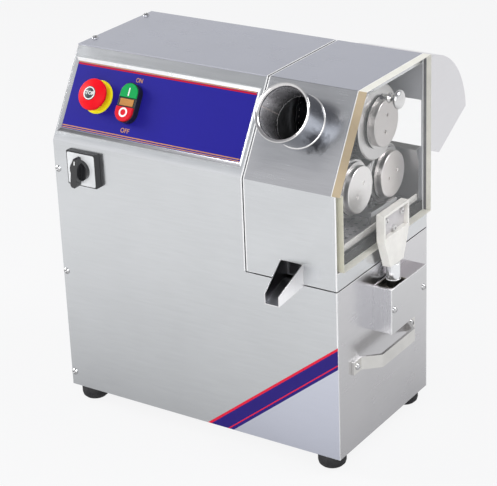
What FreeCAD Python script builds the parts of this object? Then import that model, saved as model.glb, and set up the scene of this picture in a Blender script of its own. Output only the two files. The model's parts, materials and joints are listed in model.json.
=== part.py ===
import FreeCAD, Part
import Sketcher
import math
import os
from types import SimpleNamespace

from fcgear import fcgear, involute

# Electric desktop sugarcane juicer with three cantilevered rollers.
# X runs to the right along the front, Y to the back and Z up. The origin is at the
# middle of the cabinet's underside, which the feet lift off the table.

# Driving dimensions, in millimetres and degrees. The upper cabinet takes its heights from
# the top roller's axis, as drops below it or rises above it, insets run from the nearest
# side, and places "along" the sloped panel start at the bend below it.
SIZES = {
    # cabinet
    "body_width": 440.0,
    "body_depth": 238.0,
    "cover_rise": 71.0,
    "slope_drop": 115.0,
    "slope_angle": 31.3,
    "seam_drop": 172.0,
    "seam_gap": 1.6,
    "chamber_width": 131.0,
    "sheet": 1.5,
    "flange": 14.0,
    "base_thickness": 4.0,
    "foot_height": 21.0,
    "foot_radius": 19.0,
    "foot_inset_side": 24.0,
    "foot_inset_front": 20.0,
    "foot_stud_radius": 4.0,
    "foot_stud_length": 6.0,
    "foot_edge": 1.5,
    "foot_round": 8.0,
    "louvre_count": 7,
    "louvre_low": 90.0,
    "louvre_pitch": 16.0,
    "louvre_height": 5.0,
    "louvre_inset": 50.0,
    "louvre_length": 90.0,
    # sloped control panel, a shallow pan
    "pan_left_inset": 3.0,
    "pan_right_inset": 6.0,
    "pan_low": 13.4,
    "pan_high": 116.5,
    "pan_depth": 1.5,
    "pan_bevel_side": 3.3,
    "pan_bevel_end": 4.5,
    "pan_rim": 1.5,
    # emergency stop
    "estop_inset": 54.0,
    "estop_along": 68.0,
    "estop_hole_radius": 11.0,
    "estop_collar_radius": 23.0,
    "estop_collar_height": 2.5,
    "estop_head_radius": 21.5,
    "estop_head_height": 15.0,
    "estop_head_foot": 15.7,
    "estop_rim_low": 4.9,
    "estop_rim_high": 8.2,
    "estop_stroke": 5.0,
    "estop_gap": 0.6,
    "estop_stem_radius": 6.6,
    "estop_pin_radius": 4.0,
    "estop_pin_length": 7.0,
    "estop_bore_depth": 12.0,
    "estop_block_depth": 42.0,
    "contact_block": 26.0,
    "panel_neck": 16.0,
    # twin push button
    "twin_inset": 108.7,
    "twin_along": 66.4,
    "twin_length": 54.0,
    "twin_width": 29.0,
    "twin_height": 11.0,
    "twin_hole_radius": 11.0,
    "twin_block_depth": 40.0,
    "key_margin": 0.8,
    "key_floor": 3.0,
    "key_play": 0.3,
    "on_key_rise": 1.0,
    "off_key_rise": 3.0,
    "key_stroke": 3.0,
    "lens_length": 9.6,
    "lens_width": 21.4,
    "lens_bridge": 1.5,
    "lens_depth": 3.0,
    "lens_rise": 0.8,
    # rotary cam switch
    "rotary_inset": 53.0,
    "rotary_drop": 30.5,
    "rotary_plate": 48.0,
    "rotary_plate_depth": 10.0,
    "rotary_block": 44.0,
    "rotary_block_depth": 46.0,
    "rotary_bore_depth": 12.0,
    "rotary_knob_gap": 0.4,
    "rotary_shaft_radius": 5.0,
    "rotary_knob_radius": 14.5,
    "rotary_knob_depth": 6.0,
    "rotary_grip_length": 44.0,
    "rotary_grip_width": 10.0,
    "rotary_grip_depth": 10.0,
    "rotary_tilt": 8.0,
    # roller housing and its clear guard
    "skin_inset": 6.0,
    "ledge_rise": 24.0,
    "window_border": 8.0,
    "window_top": 12.5,
    "window_low": 5.0,
    "guard_thickness": 12.0,
    "guard_front_gap": 8.0,
    "guard_seat_gap": 0.3,
    "guard_knob_depth_place": 6.0,
    "guard_knob_drop": 24.0,
    "guard_knob_radius": 12.5,
    "guard_knob_length": 20.0,
    "guard_knob_stud": 4.0,
    # interlock
    "bracket_depth_place": 3.5,
    "bracket_rise": 49.0,
    "bracket_shoulder_rise": 13.0,
    "bracket_drop": 28.0,
    "bracket_width": 66.0,
    "bracket_waist": 35.0,
    "bracket_thickness": 12.0,
    "bracket_pocket": 6.0,
    "bracket_rim": 3.5,
    "post_radius": 9.5,
    "post_engagement": 10.0,
    "post_pin_radius": 5.0,
    "post_pin_length": 8.0,
    "post_edge": 2.0,
    "bracket_screw_spread": 41.0,
    "bracket_screw_drop": 16.0,
    "bracket_screw_inset": 12.0,
    "bracket_screw_radius": 2.5,
    "bracket_screw_head": 4.3,
    "bracket_screw_rise": 3.6,
    "slot_start": 1.0,
    "slot_width": 25.0,
    "slot_front": -25.0,
    "slot_back": 14.0,
    "box_wall": 2.0,
    "micro_low_gap": 15.0,
    "micro_high_gap": 14.0,
    "micro_width": 30.0,
    "box_front": -30.0,
    "box_back": 64.0,
    "box_drop": 28.0,
    "box_height": 63.0,
    "box_depth": 28.5,
    "box_screw_inset": 7.0,
    "box_screw_height": 33.0,
    "plunger_radius": 4.0,
    "plunger_length": 14.0,
    "plunger_stroke": 4.0,
    "plunger_gap": 0.3,
    # feed tube, square to the slope
    "feed_inset": 69.5,
    "feed_along": 84.5,
    "feed_length": 49.0,
    "feed_radius": 34.5,
    "feed_wall": 2.0,
    "feed_lip_radius": 37.0,
    "feed_lip_length": 4.0,
    "feed_weld": 2.0,
    # juice path
    "spout_inset": 60.5,
    "spout_width": 34.0,
    "spout_drop": 5.0,
    "spout_height": 30.0,
    "spout_reach": 51.0,
    "spout_tip_width": 21.5,
    "spout_tip_drop": 9.0,
    "spout_tip_height": 14.5,
    "spout_tip_shift": 1.8,
    "tray_side_gap": 5.0,
    "tray_front_gap": 14.0,
    "tray_back_gap": 5.0,
    "tray_drop": 133.0,
    "tray_depth_front": 37.0,
    "tray_depth_back": 23.0,
    "tray_rim_width": 6.0,
    "tray_rail_rise": 4.0,
    "tray_rail_height": 7.5,
    "outlet_width": 26.0,
    "outlet_height": 16.0,
    "strainer_drop": 11.0,
    "strainer_thickness": 1.0,
    "strainer_hole_radius": 3.0,
    "strainer_pitch": 12.0,
    "strainer_margin": 8.0,
    "strainer_play": 0.4,
    "scraper_rise": 3.0,
    "scraper_height": 15.0,
    "scraper_width": 18.0,
    "scraper_angle": 35.0,
    "scraper_gap": 0.6,
    "scraper_blade": 2.0,
    "scraper_yoke_shift": 28.5,
    "scraper_yoke_length": 70.0,
    "scraper_yoke_gap": 1.5,
    "scraper_yoke_thickness": 5.0,
    "turner_clearance": 3.0,
    "turner_front_angle": 24.0,
    "turner_back_angle": 42.0,
    "turner_low_rise": 10.5,
    "chute_lip_radius": 42.0,
    "chute_lip_angle": 36.0,
    "chute_wall_gap": 3.0,
    "chute_knee_rise": 4.0,
    "chute_foot_gap": 2.0,
    "hatch_drop": 58.0,
    "hatch_height": 65.0,
    "hood_radius": 109.5,
    "hood_centre_depth": 15.5,
    "hood_top_drop": 11.3,
    "hood_lip_depth": 46.5,
    "hood_lip_drop": 24.0,
    "hood_floor_drop": 4.5,
    "hood_mouth_angle": 28.4,
    "hood_lip": 12.0,
    # rollers, on axes along X
    "top_axis_inset": 83.0,
    "top_axis_height": 414.0,
    "front_roller_angle": 33.4,
    "rear_roller_angle": 22.8,
    "top_roller_radius": 50.5,
    "lower_roller_radius": 39.5,
    "roller_start_gap": 4.0,
    "top_cap_inset": 8.5,
    "lower_cap_inset": 19.0,
    "cap_thickness": 9.0,
    "cap_radius": 31.5,
    "cap_pin_radius": 2.5,
    "cap_pin_spread": 11.0,
    "cap_pin_depth": 2.5,
    "top_cap_turn": 75.0,
    "front_cap_turn": 40.0,
    "rear_cap_turn": 16.4,
    "boss_radius": 35.0,
    "boss_length": 3.0,
    "collar_radius": 19.0,
    "stub_radius": 10.0,
    "stub_length": 6.0,
    "chamfer": 1.5,
    "roller_grooves": 36,
    "groove_depth": 1.2,
    "groove_width": 3.0,
    "groove_margin": 5.0,
    "top_shaft_radius": 15.0,
    "lower_shaft_radius": 12.5,
    "counter_shaft_radius": 7.5,
    # gears and belt
    "gear_module": 2.5,
    "top_gear_teeth": 41,
    "lower_gear_teeth": 32,
    "main_gear_teeth": 50,
    "pinion_teeth": 18,
    "pressure_angle": 20.0,
    "tooth_thinning": 0.1,
    "gear_width": 20.0,
    "main_gear_width": 18.0,
    "counter_angle": 5.0,
    "plate_thickness": 12.0,
    "outboard_thickness": 8.0,
    "plate_inset": 14.0,
    "gear_gap": 4.0,
    "main_gear_gap": 6.0,
    "outboard_gap": 8.0,
    "pulley_gap": 7.0,
    "top_bearing_radius": 27.5,
    "lower_bearing_radius": 23.5,
    "counter_bearing_radius": 17.5,
    "bearing_fit": 0.02,
    "bore_fit": 0.03,
    "shaft_collar_gap": 0.5,
    "shaft_end": 4.0,
    "spacer_radius": 7.0,
    "spacer_low": 70.0,
    "spacer_drop": 154.0,
    "pulley_width": 20.0,
    "big_pulley_radius": 70.0,
    "small_pulley_radius": 30.0,
    "pulley_groove_depth": 9.0,
    "pulley_groove_width": 12.0,
    "pulley_groove_floor": 7.0,
    "belt_gap": 0.4,
    "belt_height": 7.0,
    "belt_side_play": 0.35,
    # gear motor
    "motor_depth_place": -4.0,
    "motor_height": 108.0,
    "motor_radius": 62.0,
    "motor_end_gap": 22.0,
    "motor_fins": 24,
    "fin_height": 5.0,
    "fin_thickness": 2.5,
    "fin_start": 15.0,
    "fin_end": 36.0,
    "motor_foot_inset": 12.0,
    "terminal_start": 38.0,
    "terminal_end": 20.0,
    "motor_side_angle": 52.5,
    "terminal_rise": 28.0,
    "reducer_side": 116.0,
    "reducer_length": 38.0,
    "reducer_gap": 8.0,
    "motor_shaft_radius": 9.0,
    "motor_shaft_grip": 24.0,
    "shaft_play": 0.05,
    "reducer_corner": 74.0,
    "mount_height": 26.0,
    "mount_sheet": 4.0,
    "mount_rim": 6.0,
    "contactor_width": 36.0,
    "contactor_depth": 56.0,
    "contactor_height": 74.0,
    "contactor_low": 90.0,
    "contactor_step": 16.0,
    # handle on the right side
    "handle_drop": 21.5,
    "handle_height": 18.5,
    "handle_thickness": 4.0,
    "handle_reach": 25.0,
    "handle_front": -87.0,
    "handle_back": 78.0,
    "handle_foot": 19.0,
    "handle_leg": 20.0,
    # fasteners and cord inlet
    "screw_radius": 2.5,
    "screw_head_radius": 4.6,
    "screw_head_height": 2.6,
    "screw_length": 8.0,
    "screw_play": 0.2,
    "panel_screw_inset": 5.0,
    "front_screw_low": 20.0,
    "front_screw_middle": 177.0,
    "front_screw_drop": 41.0,
    "top_screw_front": -19.0,
    "top_screw_inset": 20.0,
    "gland_inset": 70.0,
    "gland_height": 60.0,
    "gland_radius": 11.0,
    "gland_length": 18.0,
    "gland_bore": 4.5,
    "gland_inside": 8.0,
}


class Size:
    """A number on the sheet, or sums made with it: its expression and its value."""

    def __init__(self, text, value):
        self.text = text
        self.value = value

    def __add__(self, other):
        other = as_size(other)
        return Size(f"({self.text} + {other.text})", self.value + other.value)

    def __sub__(self, other):
        other = as_size(other)
        return Size(f"({self.text} - {other.text})", self.value - other.value)

    def __mul__(self, other):
        other = as_size(other)
        return Size(f"({self.text} * {other.text})", self.value * other.value)

    def __truediv__(self, other):
        other = as_size(other)
        return Size(f"({self.text} / {other.text})", self.value / other.value)

    def __neg__(self):
        return as_size(0) - self

    def __radd__(self, other):
        return as_size(other) + self

    def __rsub__(self, other):
        return as_size(other) - self

    def __rmul__(self, other):
        return as_size(other) * self

    def __rtruediv__(self, other):
        return as_size(other) / self


def as_size(number):
    """A Size from a plain number, or the Size itself."""
    if isinstance(number, Size):
        return number
    if number < 0:
        return Size(f"(0 - {-number})", number)
    return Size(f"{number}", number)


def sine(angle):
    return Size(f"sin({angle.text})", math.sin(math.radians(angle.value)))


def cosine(angle):
    return Size(f"cos({angle.text})", math.cos(math.radians(angle.value)))


def tangent(angle):
    return Size(f"tan({angle.text})", math.tan(math.radians(angle.value)))


def root(number):
    return Size(f"sqrt({number.text})", math.sqrt(number.value))


doc = FreeCAD.newDocument("sugarcane_juicer")
sheet = doc.addObject("Spreadsheet::Sheet", "sizes")
for row, (alias, number) in enumerate(SIZES.items(), start=1):
    sheet.set(f"A{row}", alias)
    sheet.set(f"B{row}", str(number))
    sheet.setAlias(f"B{row}", alias)
doc.recompute()
D = SimpleNamespace(
    **{
        alias: Size(f"sizes.{alias}", float(sheet.get(f"B{row}")))
        for row, alias in enumerate(SIZES, start=1)
    }
)

NODES = {}
AXIS_TURNS = {
    "x": FreeCAD.Rotation(FreeCAD.Vector(0, 1, 0), 90),
    "y": FreeCAD.Rotation(FreeCAD.Vector(1, 0, 0), -90),
    "z": FreeCAD.Rotation(),
}


# ---------------------------------------------------------------- document helpers

def bind(thing, **sizes):
    """Bind properties of an object to sizes; a double underscore stands for a dot."""
    for name, size in sizes.items():
        thing.setExpression(name.replace("__", "."), as_size(size).text)


def move(thing, x=0, y=0, z=0):
    """Bind the place of an object."""
    bind(thing, Placement__Base__x=x, Placement__Base__y=y, Placement__Base__z=z)
    return thing


def node(label, thing):
    """Name a finished sub-part, which is written to its own file."""
    thing.Label = label
    NODES[label] = thing
    return thing


def block(low, high):
    """A box between two corners."""
    box = doc.addObject("Part::Box", "Block")
    bind(box, Length=high[0] - low[0], Width=high[1] - low[1], Height=high[2] - low[2])
    return move(box, *low)


def rod(axis, start, length, radius):
    """A cylinder along an axis, from the centre of its first end."""
    cylinder = doc.addObject("Part::Cylinder", "Rod")
    bind(cylinder, Radius=radius, Height=length)
    cylinder.Placement = FreeCAD.Placement(FreeCAD.Vector(), AXIS_TURNS[axis])
    return move(cylinder, *start)


def fuse(*things):
    """One solid out of touching pieces."""
    joined = doc.addObject("Part::MultiFuse", "Joined")
    joined.Shapes = list(things)
    joined.Refine = True
    return joined


def cut(base, *tools):
    """The base without its tools."""
    rest = doc.addObject("Part::Cut", "Rest")
    rest.Base = base
    rest.Tool = tools[0] if len(tools) == 1 else fuse(*tools)
    rest.Refine = True
    return rest


def common(first, second):
    """What two pieces share."""
    shared = doc.addObject("Part::Common", "Shared")
    shared.Base = first
    shared.Tool = second
    return shared


def group(things):
    """Separate solids that share one node."""
    bundle = doc.addObject("Part::Compound", "Bundle")
    bundle.Links = list(things)
    return bundle


def new_sketch(body, plane, offset):
    """An empty sketch on one of the body's own planes, pushed along its normal."""
    sketch = body.newObject("Sketcher::SketchObject", "Outline")
    features = body.Origin.OriginFeatures
    support = next(item for item in features if item.Role == plane + "_Plane")
    sketch.AttachmentSupport = (support, [""])
    sketch.MapMode = "FlatFace"
    bind(sketch, AttachmentOffset__Base__z=offset)
    return sketch


def add_outline(sketch, corners):
    """Add a closed polygon whose corners are bound to sizes."""
    first = sketch.GeometryCount
    points = [FreeCAD.Vector(as_size(u).value, as_size(v).value, 0) for u, v in corners]
    count = len(points)
    for index in range(count):
        sketch.addGeometry(Part.LineSegment(points[index], points[(index + 1) % count]))
    for index, (u, v) in enumerate(corners):
        line = first + index
        following = first + (index + 1) % count
        sketch.addConstraint(Sketcher.Constraint("Coincident", line, 2, following, 1))
        for kind, size, value in (("DistanceX", u, points[index].x), ("DistanceY", v, points[index].y)):
            number = sketch.addConstraint(Sketcher.Constraint(kind, -1, 1, line, 1, value))
            sketch.setExpression(f"Constraints[{number}]", as_size(size).text)


def add_circle(sketch, centre, radius):
    """Add a circle bound to sizes."""
    u, v = as_size(centre[0]), as_size(centre[1])
    radius = as_size(radius)
    middle = FreeCAD.Vector(u.value, v.value, 0)
    shape = sketch.addGeometry(Part.Circle(middle, FreeCAD.Vector(0, 0, 1), radius.value))
    for kind, size in (("DistanceX", u), ("DistanceY", v)):
        number = sketch.addConstraint(Sketcher.Constraint(kind, -1, 1, shape, 3, size.value))
        sketch.setExpression(f"Constraints[{number}]", size.text)
    number = sketch.addConstraint(Sketcher.Constraint("Radius", shape, radius.value))
    sketch.setExpression(f"Constraints[{number}]", radius.text)


def span_on(plane, low, high):
    """Where a slab between two world places starts along the plane's normal."""
    return -high if plane == "XZ" else low


def plate(plane, corners, low, high, holes=(), windows=()):
    """A padded outline between two places, with round holes and cut-out windows.

    XY plates lie between heights, YZ plates between places along X, and XZ plates
    between places along Y.
    """
    low, high = as_size(low), as_size(high)
    thickness = high - low
    body = doc.addObject("PartDesign::Body", "Plate")
    start = span_on(plane, low, high)
    outline = new_sketch(body, plane, start)
    add_outline(outline, corners)
    pad = body.newObject("PartDesign::Pad", "Pad")
    pad.Profile = outline
    bind(pad, Length=thickness)
    if holes or windows:
        openings = new_sketch(body, plane, start + thickness)
        for centre, radius in holes:
            add_circle(openings, centre, radius)
        for window in windows:
            add_outline(openings, window)
        pocket = body.newObject("PartDesign::Pocket", "Pocket")
        pocket.Profile = openings
        bind(pocket, Length=thickness)
    return body


def rectangle(left, low, right, high):
    """The corners of an upright rectangle."""
    return [(left, low), (right, low), (right, high), (left, high)]


def turned(profile, axis="z", at=(0, 0, 0)):
    """A turned piece from (radius, place along its axis) corners."""
    body = doc.addObject("PartDesign::Body", "Turned")
    outline = new_sketch(body, "XZ", 0)
    add_outline(outline, profile)
    turn = body.newObject("PartDesign::Revolution", "Turn")
    turn.Profile = outline
    turn.ReferenceAxis = (outline, ["V_Axis"])
    turn.Angle = 360
    body.Placement = FreeCAD.Placement(FreeCAD.Vector(), AXIS_TURNS[axis])
    return move(body, *at)


def ring(inner, outer, start, end):
    """The profile of a plain ring."""
    return [(inner, start), (outer, start), (outer, end), (inner, end)]


def on_slope(thing, across=0, along=0, lift=0):
    """Put a piece made over the XY plane onto the slope: x across, y along, z outwards."""
    tilt = FreeCAD.Rotation(FreeCAD.Vector(1, 0, 0), 1)
    thing.Placement = FreeCAD.Placement(FreeCAD.Vector(), tilt)
    bind(thing, Placement__Rotation__Angle=90 - D.slope_angle)
    depth = FRONT + along * sine(D.slope_angle) - lift * cosine(D.slope_angle)
    height = BREAK + along * cosine(D.slope_angle) + lift * sine(D.slope_angle)
    return move(thing, across, depth, height)


# ---------------------------------------------------------------- shared lines

HALF = D.body_width / 2
FRONT = -D.body_depth / 2
BACK = D.body_depth / 2
BOTTOM = as_size(0)
TOP = D.top_axis_height + D.cover_rise
BREAK = TOP - D.slope_drop
SEAM = D.top_axis_height - D.seam_drop
LEDGE = SEAM + D.ledge_rise
BASE_TOP = D.base_thickness
SKIN_END = HALF - D.skin_inset
SPLIT = SKIN_END - D.chamber_width
RIGHT_SKIN = SPLIT + D.seam_gap
INNER_FRONT = FRONT + D.sheet
INNER_BACK = BACK - D.sheet

# The tray under the rollers, the spout that drains it and the hatch behind them.
TRAY_RIM = D.top_axis_height - D.tray_drop
TRAY_RIGHT = SKIN_END - D.tray_side_gap
TRAY_LOW = TRAY_RIM - D.tray_depth_front
SPOUT_ACROSS = SKIN_END - D.spout_inset
SPOUT_LOW = TRAY_LOW - D.spout_drop
SPOUT_HIGH = SPOUT_LOW + D.spout_height
HATCH_LOW = D.top_axis_height - D.hatch_drop

# The interlock's box, the handle under it, and the controls on the left.
BOX_HIGH = SEAM - D.box_drop
BOX_LOW = BOX_HIGH - D.box_height
HANDLE_HIGH = BOX_LOW - D.handle_drop
HANDLE_LOW = HANDLE_HIGH - D.handle_height
ESTOP_PLACE = (-HALF + D.estop_inset, D.estop_along)
TWIN_PLACE = (-HALF + D.twin_inset, D.twin_along)
ROTARY_PLACE = (-HALF + D.rotary_inset, BREAK - D.rotary_drop)

# Stations of the gear train, from the split between the two compartments to the left.
CHAMBER_PLATE = (SPLIT, SPLIT + D.plate_thickness)
ROLLER_GEARS = (SPLIT - D.gear_gap - D.gear_width, SPLIT - D.gear_gap)
DRIVE_PLATE = (ROLLER_GEARS[0] - D.gear_gap - D.plate_thickness, ROLLER_GEARS[0] - D.gear_gap)
MAIN_GEAR = (DRIVE_PLATE[0] - D.main_gear_gap - D.main_gear_width, DRIVE_PLATE[0] - D.main_gear_gap)
OUTBOARD = (MAIN_GEAR[0] - D.outboard_gap - D.outboard_thickness, MAIN_GEAR[0] - D.outboard_gap)
PULLEYS = (OUTBOARD[0] - D.pulley_gap - D.pulley_width, OUTBOARD[0] - D.pulley_gap)
REDUCER = (PULLEYS[0] - D.reducer_gap - D.reducer_length, PULLEYS[0] - D.reducer_gap)
TOP_CAP_FACE = SKIN_END - D.top_cap_inset
LOWER_CAP_FACE = SKIN_END - D.lower_cap_inset

# Roller and countershaft axes, as places along Y and Z.
ROLLER_DISTANCE = D.gear_module * (D.top_gear_teeth + D.lower_gear_teeth) / 2
COUNTER_DISTANCE = D.gear_module * (D.main_gear_teeth + D.pinion_teeth) / 2
TOP_AXIS = (BACK - D.top_axis_inset, D.top_axis_height)


def below_top_axis(distance, angle, side):
    """An axis at a distance from the top roller's, at an angle from straight down."""
    return (
        TOP_AXIS[0] + side * distance * sine(angle),
        TOP_AXIS[1] - distance * cosine(angle),
    )


FRONT_AXIS = below_top_axis(ROLLER_DISTANCE, D.front_roller_angle, -1)
REAR_AXIS = below_top_axis(ROLLER_DISTANCE, D.rear_roller_angle, 1)
COUNTER_AXIS = below_top_axis(COUNTER_DISTANCE, D.counter_angle, -1)
MOTOR_AXIS = (D.motor_depth_place, D.motor_height)


def slope_depth(height, inset=0):
    """Where the slope, or a sheet inset behind it, is along Y at a height."""
    return FRONT + (height - BREAK) * tangent(D.slope_angle) + inset / cosine(D.slope_angle)


def bend_height(inset):
    """The height of the bend below the slope, for a sheet inset behind the skin."""
    return BREAK - inset * (1 / cosine(D.slope_angle) - 1) / tangent(D.slope_angle)


def side_outline(inset, low):
    """The cabinet's outline seen from the side, inset from the skin."""
    inset = as_size(inset)
    high = TOP - inset
    return [
        (FRONT + inset, low),
        (FRONT + inset, bend_height(inset)),
        (slope_depth(high, inset), high),
        (BACK - inset, high),
        (BACK - inset, low),
    ]


def pan_rectangle(grow, shrink_side, shrink_end):
    """The pan's outline, grown by a rim and drawn in by its bevels."""
    return rectangle(
        -HALF + D.pan_left_inset - grow + shrink_side,
        D.pan_low - grow + shrink_end,
        SPLIT - D.pan_right_inset + grow - shrink_side,
        D.pan_high + grow - shrink_end,
    )


# ---------------------------------------------------------------- fasteners

SCREWS = []


def screw(axis, at, outwards):
    """A button-head screw whose head sits on a surface; outwards is 1 or -1 on its axis."""
    radius, head = D.screw_radius, D.screw_head_radius
    rise, length = D.screw_head_height, D.screw_length
    profile = [
        (0, -length),
        (radius, -length),
        (radius, 0),
        (head, 0),
        (head, rise * 0.35),
        (head * 0.72, rise * 0.85),
        (head * 0.5, rise),
        (head * 0.5, rise * 0.4),
        (0, rise * 0.4),
    ]
    piece = turned(profile, axis)
    turn = AXIS_TURNS[axis]
    if outwards < 0:
        turn = turn.multiply(FreeCAD.Rotation(FreeCAD.Vector(1, 0, 0), 180))
    piece.Placement = FreeCAD.Placement(FreeCAD.Vector(), turn)
    SCREWS.append(move(piece, *at))


def screw_hole(axis, at, outwards):
    """The clearance hole of a screw through the sheets behind its head."""
    start = list(at)
    shift = {"x": 0, "y": 1, "z": 2}[axis]
    reach = D.screw_length + 1
    start[shift] = at[shift] - (reach if outwards > 0 else 1)
    return rod(axis, start, reach + 1, D.screw_radius + D.screw_play)


FRONT_SCREWS = [
    (-HALF + D.panel_screw_inset, FRONT, height)
    for height in (D.front_screw_low, D.front_screw_middle, BREAK - D.front_screw_drop)
]
TOP_SCREWS = [
    (-HALF + D.panel_screw_inset, depth, TOP)
    for depth in (D.top_screw_front, BACK - D.top_screw_inset)
]
HANDLE_MIDDLE = (HANDLE_LOW + HANDLE_HIGH) / 2
HANDLE_FACE = HALF + D.handle_thickness
HANDLE_SCREWS = [
    (HANDLE_FACE, D.handle_front + D.handle_foot / 2, HANDLE_MIDDLE),
    (HANDLE_FACE, D.handle_back - D.handle_foot / 2, HANDLE_MIDDLE),
]
BOX_SCREWS = [
    (HALF + D.box_depth, depth, BOX_LOW + D.box_screw_height)
    for depth in (D.box_front + D.box_screw_inset, D.box_back - D.box_screw_inset)
]


def cover_screws():
    """All the machine's button-head screws, which are the same size."""
    for place in FRONT_SCREWS:
        screw("y", place, -1)
    for place in TOP_SCREWS:
        screw("z", place, 1)
    for place in HANDLE_SCREWS + BOX_SCREWS:
        screw("x", place, 1)
    node("cover_screws", group(SCREWS))


# ---------------------------------------------------------------- cabinet

def base_and_feet():
    """The base plate and four rubber feet with their studs."""
    side = HALF - D.sheet
    places = [
        (across * (HALF - D.foot_inset_side), depth * (BACK - D.foot_inset_front))
        for across in (-1, 1)
        for depth in (-1, 1)
    ]
    holes = [(place, D.foot_stud_radius + D.screw_play) for place in places]
    corners = rectangle(-side, INNER_FRONT, side, INNER_BACK)
    node("base_plate", plate("XY", corners, BOTTOM, BASE_TOP, holes))
    radius, low, edge, bend = D.foot_radius, -D.foot_height, D.foot_edge, D.foot_round
    profile = [
        (0, low),
        (radius - bend, low),
        (radius - bend * 0.5, low + bend * 0.134),
        (radius - bend * 0.134, low + bend * 0.5),
        (radius, low + bend),
        (radius, -edge),
        (radius - edge, 0),
        (D.foot_stud_radius, 0),
        (D.foot_stud_radius, D.foot_stud_length),
        (0, D.foot_stud_length),
    ]
    node("rubber_feet", group([turned(profile, "z", (x, y, 0)) for x, y in places]))


def spout_notch():
    """The gap in the front sheets that the spout passes through."""
    side, play = D.spout_width / 2, D.screw_play
    return block(
        (SPOUT_ACROSS - side - play, FRONT - 1, SPOUT_LOW - play),
        (SPOUT_ACROSS + side + play, INNER_FRONT + 1, SPOUT_HIGH + play),
    )


def front_panel():
    """The left front and slope in one bent sheet, which runs on below the seam."""
    high = TOP - D.sheet
    profile = [
        (FRONT, BOTTOM),
        (FRONT, BREAK),
        (slope_depth(high), high),
        (slope_depth(high, D.sheet), high),
        (INNER_FRONT, bend_height(D.sheet)),
        (INNER_FRONT, BOTTOM),
    ]
    bent = plate("YZ", profile, -HALF, SPLIT)
    below_seam = rectangle(SPLIT - 1, BOTTOM, HALF, SEAM - D.seam_gap)
    lower = plate("XZ", below_seam, FRONT, INNER_FRONT)
    opening = on_slope(plate("XY", pan_rectangle(D.pan_rim, 0, 0), -2 * D.sheet, D.sheet))
    across, height = ROTARY_PLACE
    shaft_hole = rod("y", (across, FRONT - D.sheet, height), 3 * D.sheet, D.rotary_shaft_radius + 1.0)
    holes = [screw_hole("y", place, -1) for place in FRONT_SCREWS]
    node("front_panel", cut(fuse(bent, lower), opening, shaft_hole, spout_notch(), *holes))


def side_panels():
    """The left side sheet, and the lower right one, with their bent flanges."""
    margin = D.flange
    outer = plate("YZ", side_outline(D.sheet, BOTTOM), -HALF, -HALF + margin)
    inset = 2 * D.sheet
    hollow = [
        (FRONT + inset, BOTTOM - 1),
        (FRONT + inset, BREAK - margin),
        (FRONT - 1, BREAK - margin),
        (FRONT - 1, BREAK),
        (slope_depth(TOP - inset) - 2, TOP - inset),
        (BACK - inset, TOP - inset),
        (BACK - inset, BOTTOM - 1),
    ]
    inner = plate("YZ", hollow, -HALF + D.sheet, -HALF + margin + 1)
    base_room = block(
        (-HALF + D.sheet, INNER_FRONT - 1, BOTTOM - 1), (-HALF + margin + 1, INNER_BACK + 1, BASE_TOP)
    )
    holes = [screw_hole("y", place, -1) for place in FRONT_SCREWS]
    holes += [screw_hole("z", place, 1) for place in TOP_SCREWS]
    node("left_side_panel", cut(outer, inner, base_room, *holes))
    high = SEAM - D.seam_gap
    outer = block((HALF - margin, INNER_FRONT, BOTTOM), (HALF, INNER_BACK, high))
    inner = block(
        (HALF - margin - 1, INNER_FRONT + D.sheet, BOTTOM - 1),
        (HALF - D.sheet, INNER_BACK - D.sheet, high - D.sheet),
    )
    base_room = block(
        (HALF - margin - 1, INNER_FRONT - 1, BOTTOM - 1), (HALF - D.sheet, INNER_BACK + 1, BASE_TOP)
    )
    holes = [screw_hole("x", place, 1) for place in HANDLE_SCREWS]
    node("right_side_panel", cut(outer, inner, base_room, *holes))


def back_panel():
    """The back sheet with the outlet hatch, the motor's louvres and the cord inlet."""
    louvres = []
    left = -HALF + D.louvre_inset
    for step in range(int(D.louvre_count.value)):
        low = D.louvre_low + step * D.louvre_pitch
        louvres.append(rectangle(left, low, left + D.louvre_length, low + D.louvre_height))
    hatch = rectangle(CHAMBER_PLATE[1] + 2, HATCH_LOW, SKIN_END - 2, HATCH_LOW + D.hatch_height)
    gland = ((-HALF + D.gland_inset, D.gland_height), D.gland_radius * 0.8)
    corners = rectangle(-HALF, BOTTOM, HALF, TOP - D.sheet)
    outer = plate("XZ", corners, INNER_BACK, BACK, [gland], louvres + [hatch])
    corner = block((SKIN_END, INNER_BACK - 1, LEDGE), (HALF + 1, BACK + 1, TOP + 1))
    node("back_panel", cut(outer, corner))


def top_cover():
    """The flat sheet over the left compartment."""
    corners = rectangle(-HALF, slope_depth(TOP - D.sheet), SPLIT, BACK)
    holes = [((x, y), D.screw_radius + D.screw_play) for x, y, _ in TOP_SCREWS]
    node("top_cover", plate("XY", corners, TOP - D.sheet, TOP, holes))


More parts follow.
